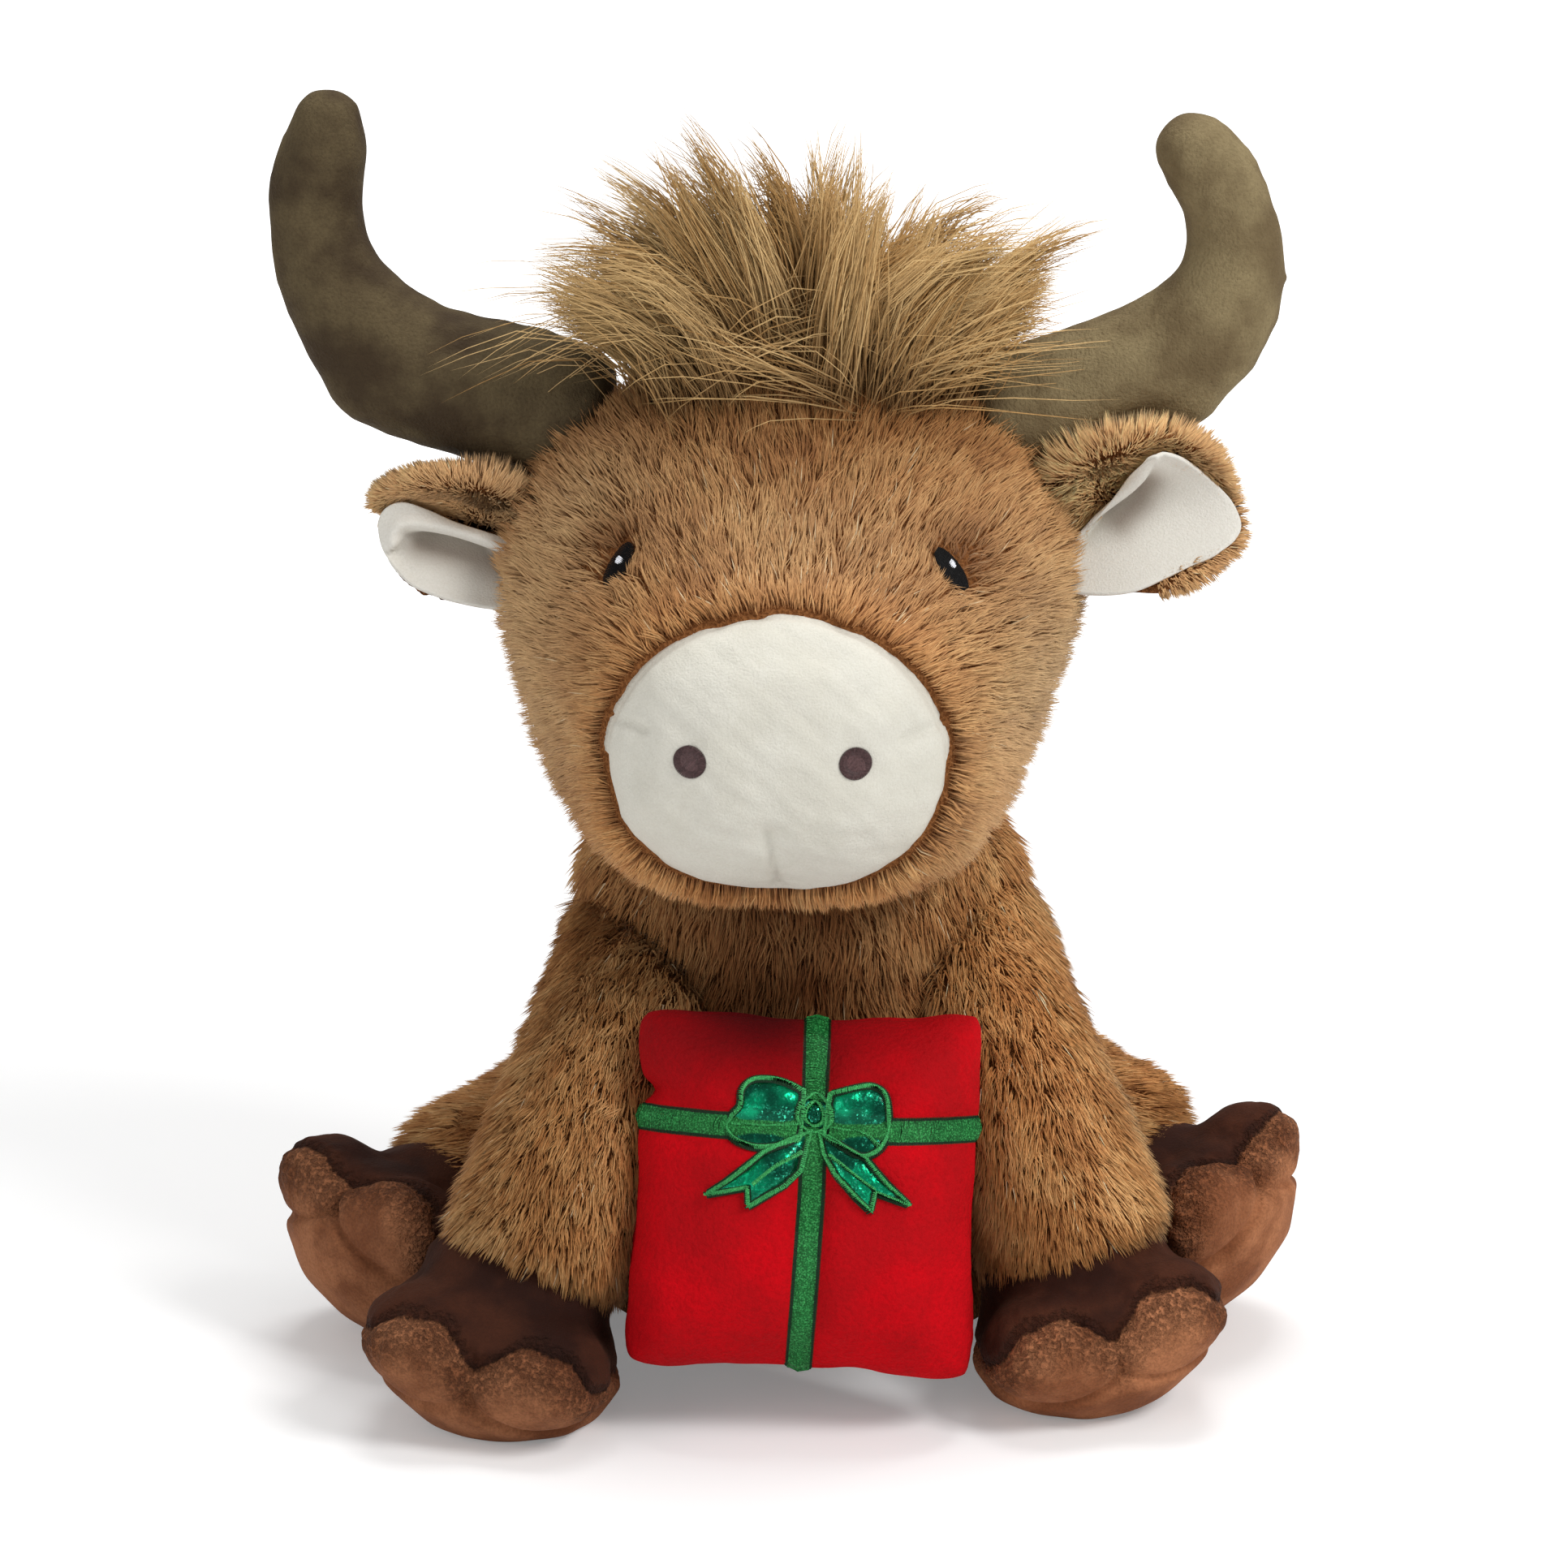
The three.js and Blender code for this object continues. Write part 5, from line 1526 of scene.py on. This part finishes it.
def leg_fur(kind, name, body, start, count, seed, around):
    """A leg's pile, combed towards its hoof and shorter there."""
    leg = legs[kind, name]
    hoof = box_centre(kind + "_hoof_upper_" + name, kind + "_hoof_sole_" + name)
    axis = unit(hoof - np.array(start))
    full = float(np.linalg.norm(hoof - np.array(start)))

    def along(root):
        return ((root - np.array(start)) @ axis)[:, None]

    def comb(root, normal):
        outwards = root - (np.array(start) + along(root) * axis)
        return np.tile(axis, (len(root), 1)) + 0.25 * unit(outwards)

    def length(root):
        return leg_pile[kind] - 0.0032 * np.clip((along(root) / full - 0.72) / 0.2, 0, 1)

    def paint(root, random, seed):
        return leg_painted_light[name] * coat(root, random, seed)

    fur(
        kind + "leg_fur_" + name, leg, body, count, comb, everywhere, seed, around,
        length=length, paint=paint, lift=0.45,
    )


for seed, name in enumerate(("left", "right")):
    around = [torso_form, gift_form, hoof_forms["fore", name]]
    leg_fur("fore", name, "forelegs", leg_starts[name], 27000, 91 + seed, around)

# Hind legs
# Stuffed thighs that splay forwards and outwards from the hips.
hip_places = {"left": (-0.038, 0.026, 0.0375), "right": (0.038, 0.026, 0.044)}
for seed, name in enumerate(("left", "right")):
    around = [torso_form, leg_forms["fore", name], hoof_forms["hind", name], hoof_forms["fore", name]]
    leg_fur("hind", name, "hind_leg_" + name, hip_places[name], 20000, 95 + seed, around)

# Body fur
# Combed down from the neck, and out over the seat. Its right side is painted lighter, as painted light, and
# the chest under the chin and a band above the gift are darkened with painted shade.


def body_comb(root, normal):
    out = root * np.array((1, 1, 0))
    return np.array((0, 0, -1.0)) + 0.25 * unit(out)


def body_paint(root, random, seed):
    # Painted lighter towards the right side: painted light. Painted shade on the chest and in a band above
    # the gift.
    colour = coat(root, random, seed, 0.2, 0.004) * (1 + 0.24 * np.clip(root[:, :1] / 0.03, 0, 1))
    under_chin_shade = bell(root[:, :1], 0.042) * np.clip(-root[:, 1:2] / 0.02, 0, 1)
    shaded = 0.7 * near_spot(root, (0, -0.05, 0.096), (0.05, 0.06, 0.014))
    return colour * (1 - np.maximum(0.5 * under_chin_shade, shaded) * np.array((0.9, 1, 1.06)))


def on_front(place, normal):
    return (place[:, 1] < 0.004) * (place[:, 2] > 0.014)


def on_back(place, normal):
    return (place[:, 1] >= 0.004) * (place[:, 2] > 0.004)


body_around = [
    head_form, gift_form, leg_forms["fore", "left"], leg_forms["fore", "right"], leg_forms["hind", "left"],
    leg_forms["hind", "right"],
]
fur("body_fur_front", torso, "torso", 30000, body_comb, on_front, 101, body_around, paint=body_paint)
fur(
    "body_fur_back", torso, "torso", 29500, body_comb, on_back, 103, body_around, paint=body_paint,
    radius=0.00026,
)

# Head fur
# The pile of the face and the nape: combed outwards from the muzzle and away from the eyes, down at the
# back, paler at the cheeks and darker on the crown under the forelock. Painted shade darkens it around the
# eyes, the right jowl is painted lighter as painted light, and a few hairs, most on the brow, are painted
# glints.
eye_middles = np.array([box_centre("eye_" + name) for name in ("left", "right")])
eye_middles[:, [0, 2]] += [eye_shifts[name] for name in ("left", "right")]
eye_clearing = 0.009
comb_middle = np.array((muzzle_middle[0], -0.084, muzzle_middle[2]))


def head_comb(root, normal):
    away = unit(root - comb_middle)
    back = np.clip(root[:, 1:2] / 0.05, 0, 1)
    flow = away * (1 - back) + back * np.array((0, 0.25, -1.0))
    for eye in eye_middles:
        off = root - eye
        flow = flow + 1.2 * bell(lengths(off), eye_clearing) * unit(off)
    return flow


def head_keep(front):
    """The face or the nape, without the muzzle and the eyes."""

    def keep(place, normal):
        half = place[:, 1] < -0.012
        weight = (half if front else ~half).astype(float)
        weight *= ~((muzzle_share(place)[:, 0] < 0.985) & (place[:, 1] < -0.04))
        weight *= 1 + 1.5 * bell(muzzle_share(place)[:, 0] - 1, 0.06)
        for eye, slant in zip(eye_middles, eye_slants.values()):
            off = (place[:, [0, 2]] - eye[[0, 2]]) @ turning(slant) / np.array(eye_half)
            weight *= ~((np.linalg.norm(off, axis=1) < 1) & (place[:, 1] < -0.02))
        return weight

    return keep


def head_length(root):
    reach = 0.0062 + 0.0018 * np.clip((muzzle_share(root) - 1) / 0.35, 0, 1)
    for eye in eye_middles:
        reach = reach * (1 - 0.6 * bell(lengths(root - eye), eye_clearing))
    return reach


def head_paint(root, random, seed):
    brow = near_spot(root, (0.004, -0.07, 0.198), (0.034, 0.03, 0.012))
    crown = near_spot(root, (0, -0.02, 0.228), (0.05, 0.05, 0.022))
    crown += 0.35 * near_spot(root, (0.003, -0.055, 0.212), 0.02)
    cheeks = 0.85 * near_spot(root, (-0.062, -0.03, 0.17), 0.034)
    cheeks += near_spot(root, (0.06, -0.03, 0.158), 0.042)
    cheeks += 0.6 * near_spot(root, (-0.046, -0.03, 0.214), 0.022)
    chin = near_spot(root, (0, -0.07, 0.114), (0.045, 0.04, 0.014))
    rim = bell(muzzle_share(root) - 1, 0.13) * (root[:, 1:2] < -0.03)
    colour = coat(root, random, seed, 0.3, 0.0)
    # Painted glints, most of them on the brow.
    glint = random.random((len(root), 1)) < 0.003 + 0.045 * brow
    colour = np.where(glint, fur_painted_glint, colour)
    pale = 0.62 * np.clip(brow * 0.6 + cheeks, 0, 1)
    colour = (colour + pale * (fur_pale - colour)) * (1 - 0.48 * crown * np.array((0.9, 1, 1.12)))
    # The right jowl is painted lighter: painted light.
    jowl = near_spot(root, (0.056, -0.05, 0.138), 0.024)
    colour = colour * (1 + 0.35 * chin) * (1 + 0.12 * rim) * (1 + 0.16 * jowl)
    # Painted shade in the eye sockets, above and beside each eye.
    for eye, shift in zip(eye_middles, ((-0.002, 0, 0.006), (0.0045, 0, 0.003))):
        near = near_spot(root, eye + np.array(shift), 0.0078)
        colour = colour * (1 - 0.84 * near * np.array((0.85, 1, 1.1)))
    return colour


head_around = [*horn_forms, muzzle_form, torso_form, *ear_forms]
fur(
    "face_fur", head, "head", 33000, head_comb, head_keep(True), 111, head_around, length=head_length,
    paint=head_paint, lift=0.6,
)
fur(
    "nape_fur", head, "head", 30500, head_comb, head_keep(False), 113, head_around, paint=head_paint,
    radius=0.00025,
)

# Forelock
# A tuft of long pile sewn in on top of the head, that stands up and fans out in pointed locks.
tips = np.array([(-58, 243), (-60.5, 257.7), (-53.6, 271.1), (-34.5, 284.3), (-2.8, 288), (19.5, 281.7),
                 (45.4, 271), (69, 267), (66, 248)]) / 1000
lock_count = 84
hairs_in_lock = 96
random = np.random.default_rng(121)
spines, radii, colours, facings = [], [], [], []
lock_light = linear((219, 184, 128))
lock_middle = linear((177, 135, 80))
# Darker towards the roots: partly the locks' own tone, partly painted shade where they crowd together.
lock_root = linear((116, 80, 42))
hair_share = np.array((0, 0.16, 0.4, 0.65, 0.85, 1))[:, None]
hair_width = np.array((0, 1, 1, 0.85, 0.6, 0))
hair_fade = np.array((0, 0.25, 0.7, 1, 1, 1))[:, None]


def crown_at(x, y):
    """The head's top, met from above."""
    place, _, _, _ = head_form.ray_cast(Vector((x, y, 0.3)), Vector((0, 0, -1)))
    return np.array(place)


for lock in range(lock_count):
    fan = (lock + random.uniform(-0.5, 1.5)) / lock_count
    fan = min(max(fan, 0), 1)
    depth = random.uniform(-1, 1)
    base = crown_at(0.003 + 0.036 * (2 * fan - 1) * random.uniform(0.6, 1), 0.001 + 0.013 * depth)
    reach_x, reach_z = (np.interp(fan, np.linspace(0, 1, len(tips)), line) for line in tips.T)
    size = random.uniform(0.68, 1.06) * (1 - 0.1 * abs(depth))
    end = base + size * (np.array((reach_x, -0.006 + 0.024 * depth, reach_z)) - base)
    spread = random.uniform(0.0035, 0.0055)
    tint = random.uniform(0, 1)
    sway = random.normal(size=3) * 0.003
    stray = lock % 21 == 0
    for _ in range(hairs_in_lock):
        foot = crown_at(*(base[:2] + random.normal(size=2) * spread * 0.8))
        point = end + random.normal(size=3) * np.array((0.0012, 0.0012, 0.0026))
        point = foot + (point - foot) * random.uniform(0.66, 1.06)
        if stray:
            side = 1 if random.random() < 0.6 else -1
            away = side * random.uniform(0.03, 0.055)
            aside = random.normal() * 0.012
            point = foot + np.array((away, aside, random.uniform(-0.002, 0.03)))
        bow = np.array(((end - base)[0] * -0.10, -0.004, 0.006))
        arch = np.sin(hair_share * math.pi)
        spine = foot + hair_share * (point - foot) + arch * (bow + sway)
        spine = spine + arch * random.normal(size=3) * 0.0012
        wave = np.sin(hair_share * 2.3 * math.pi + random.uniform(0, 6))
        spine = spine + wave * random.normal(size=3) * 0.0006 * hair_share
        spine[0] -= np.array((0, 0, 0.002))
        spines.append(spine)
        radii.append(random.uniform(0.00011, 0.0002) * hair_width)
        base_tint = lock_middle + (lock_light - lock_middle) * np.clip(tint + 0.3 * random.normal(), 0, 1)
        colours.append(lock_root + (base_tint - lock_root) * hair_fade)
        facings.append(unit(np.array((0.2 * (point - foot)[0] / 0.05, -0.8, 0.5))))
forelock = threads("forelock_hair", *(np.array(part) for part in (spines, radii, colours, facings)))
forelock.data.materials.append(fur_finish)
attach(forelock, "head")
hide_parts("forelock")

# Tail
# A thin fur rope sewn in low on the back, with a tuft of longer hair at its end.
tail_voxel = 0.0018
tuft_voxel = 0.002
tail_swell = 0.0004
tail = blown("tail_plush", ["tail"], tail_voxel, tail_swell, 12)
sewn(tail, "tail", "tail", backing_finish)
tuft = blown("tail_tuft_plush", ["tail_tuft"], tuft_voxel, tail_swell, 12)
sewn(tuft, "tail_tuft", "tail", backing_finish)


def down_comb(root, normal):
    return np.tile(np.array((0, 0.15, -1.0)), (len(root), 1))


fur("tail_fur", tail, "tail", 3500, down_comb, everywhere, 131, [torso_form], lift=0.45)


def tuft_paint(root, random, seed):
    return lock_middle + (lock_light - lock_middle) * random.uniform(0, 1, (len(root), 1))


fur(
    "tail_tuft_fur", tuft, "tail", 4500, down_comb, everywhere, 133, [torso_form],
    length=lambda root: 0.016, lift=0.35, paint=tuft_paint, gather=0.8,
)

# Fillings
# White fibre in the body and the head, and a linen bag of pellets, all inside the skins.
fibre = Finish("white_fibre", Roughness=0.95, Sheen_Weight=0.4)
wisps = fibre.noise(700, 4, 0.7)
fibre.set("Base Color", fibre.mixed(wisps, (214, 212, 206), (246, 245, 240)))
fibre.bump(wisps, 0.0015)
linen = Finish("bag_linen", Roughness=0.9)
wave = {"Vector": linen.place(), "Scale": 900.0, "Distortion": 1.0}
weave, cross = (
    linen.node("ShaderNodeTexWave", {"wave_type": "BANDS", "bands_direction": way}, wave) for way in "XZ"
)
linen.set("Base Color", linen.mixed(weave * cross, (176, 160, 130), (214, 202, 176)))
linen.bump(weave + cross, 0.0002)
sewn(head_fibre, "head_stuffing", "head", fibre.material)
for node, finish in (("torso_stuffing", fibre), ("pellet_bag", linen)):
    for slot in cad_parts[node].material_slots:
        slot.material = finish.material
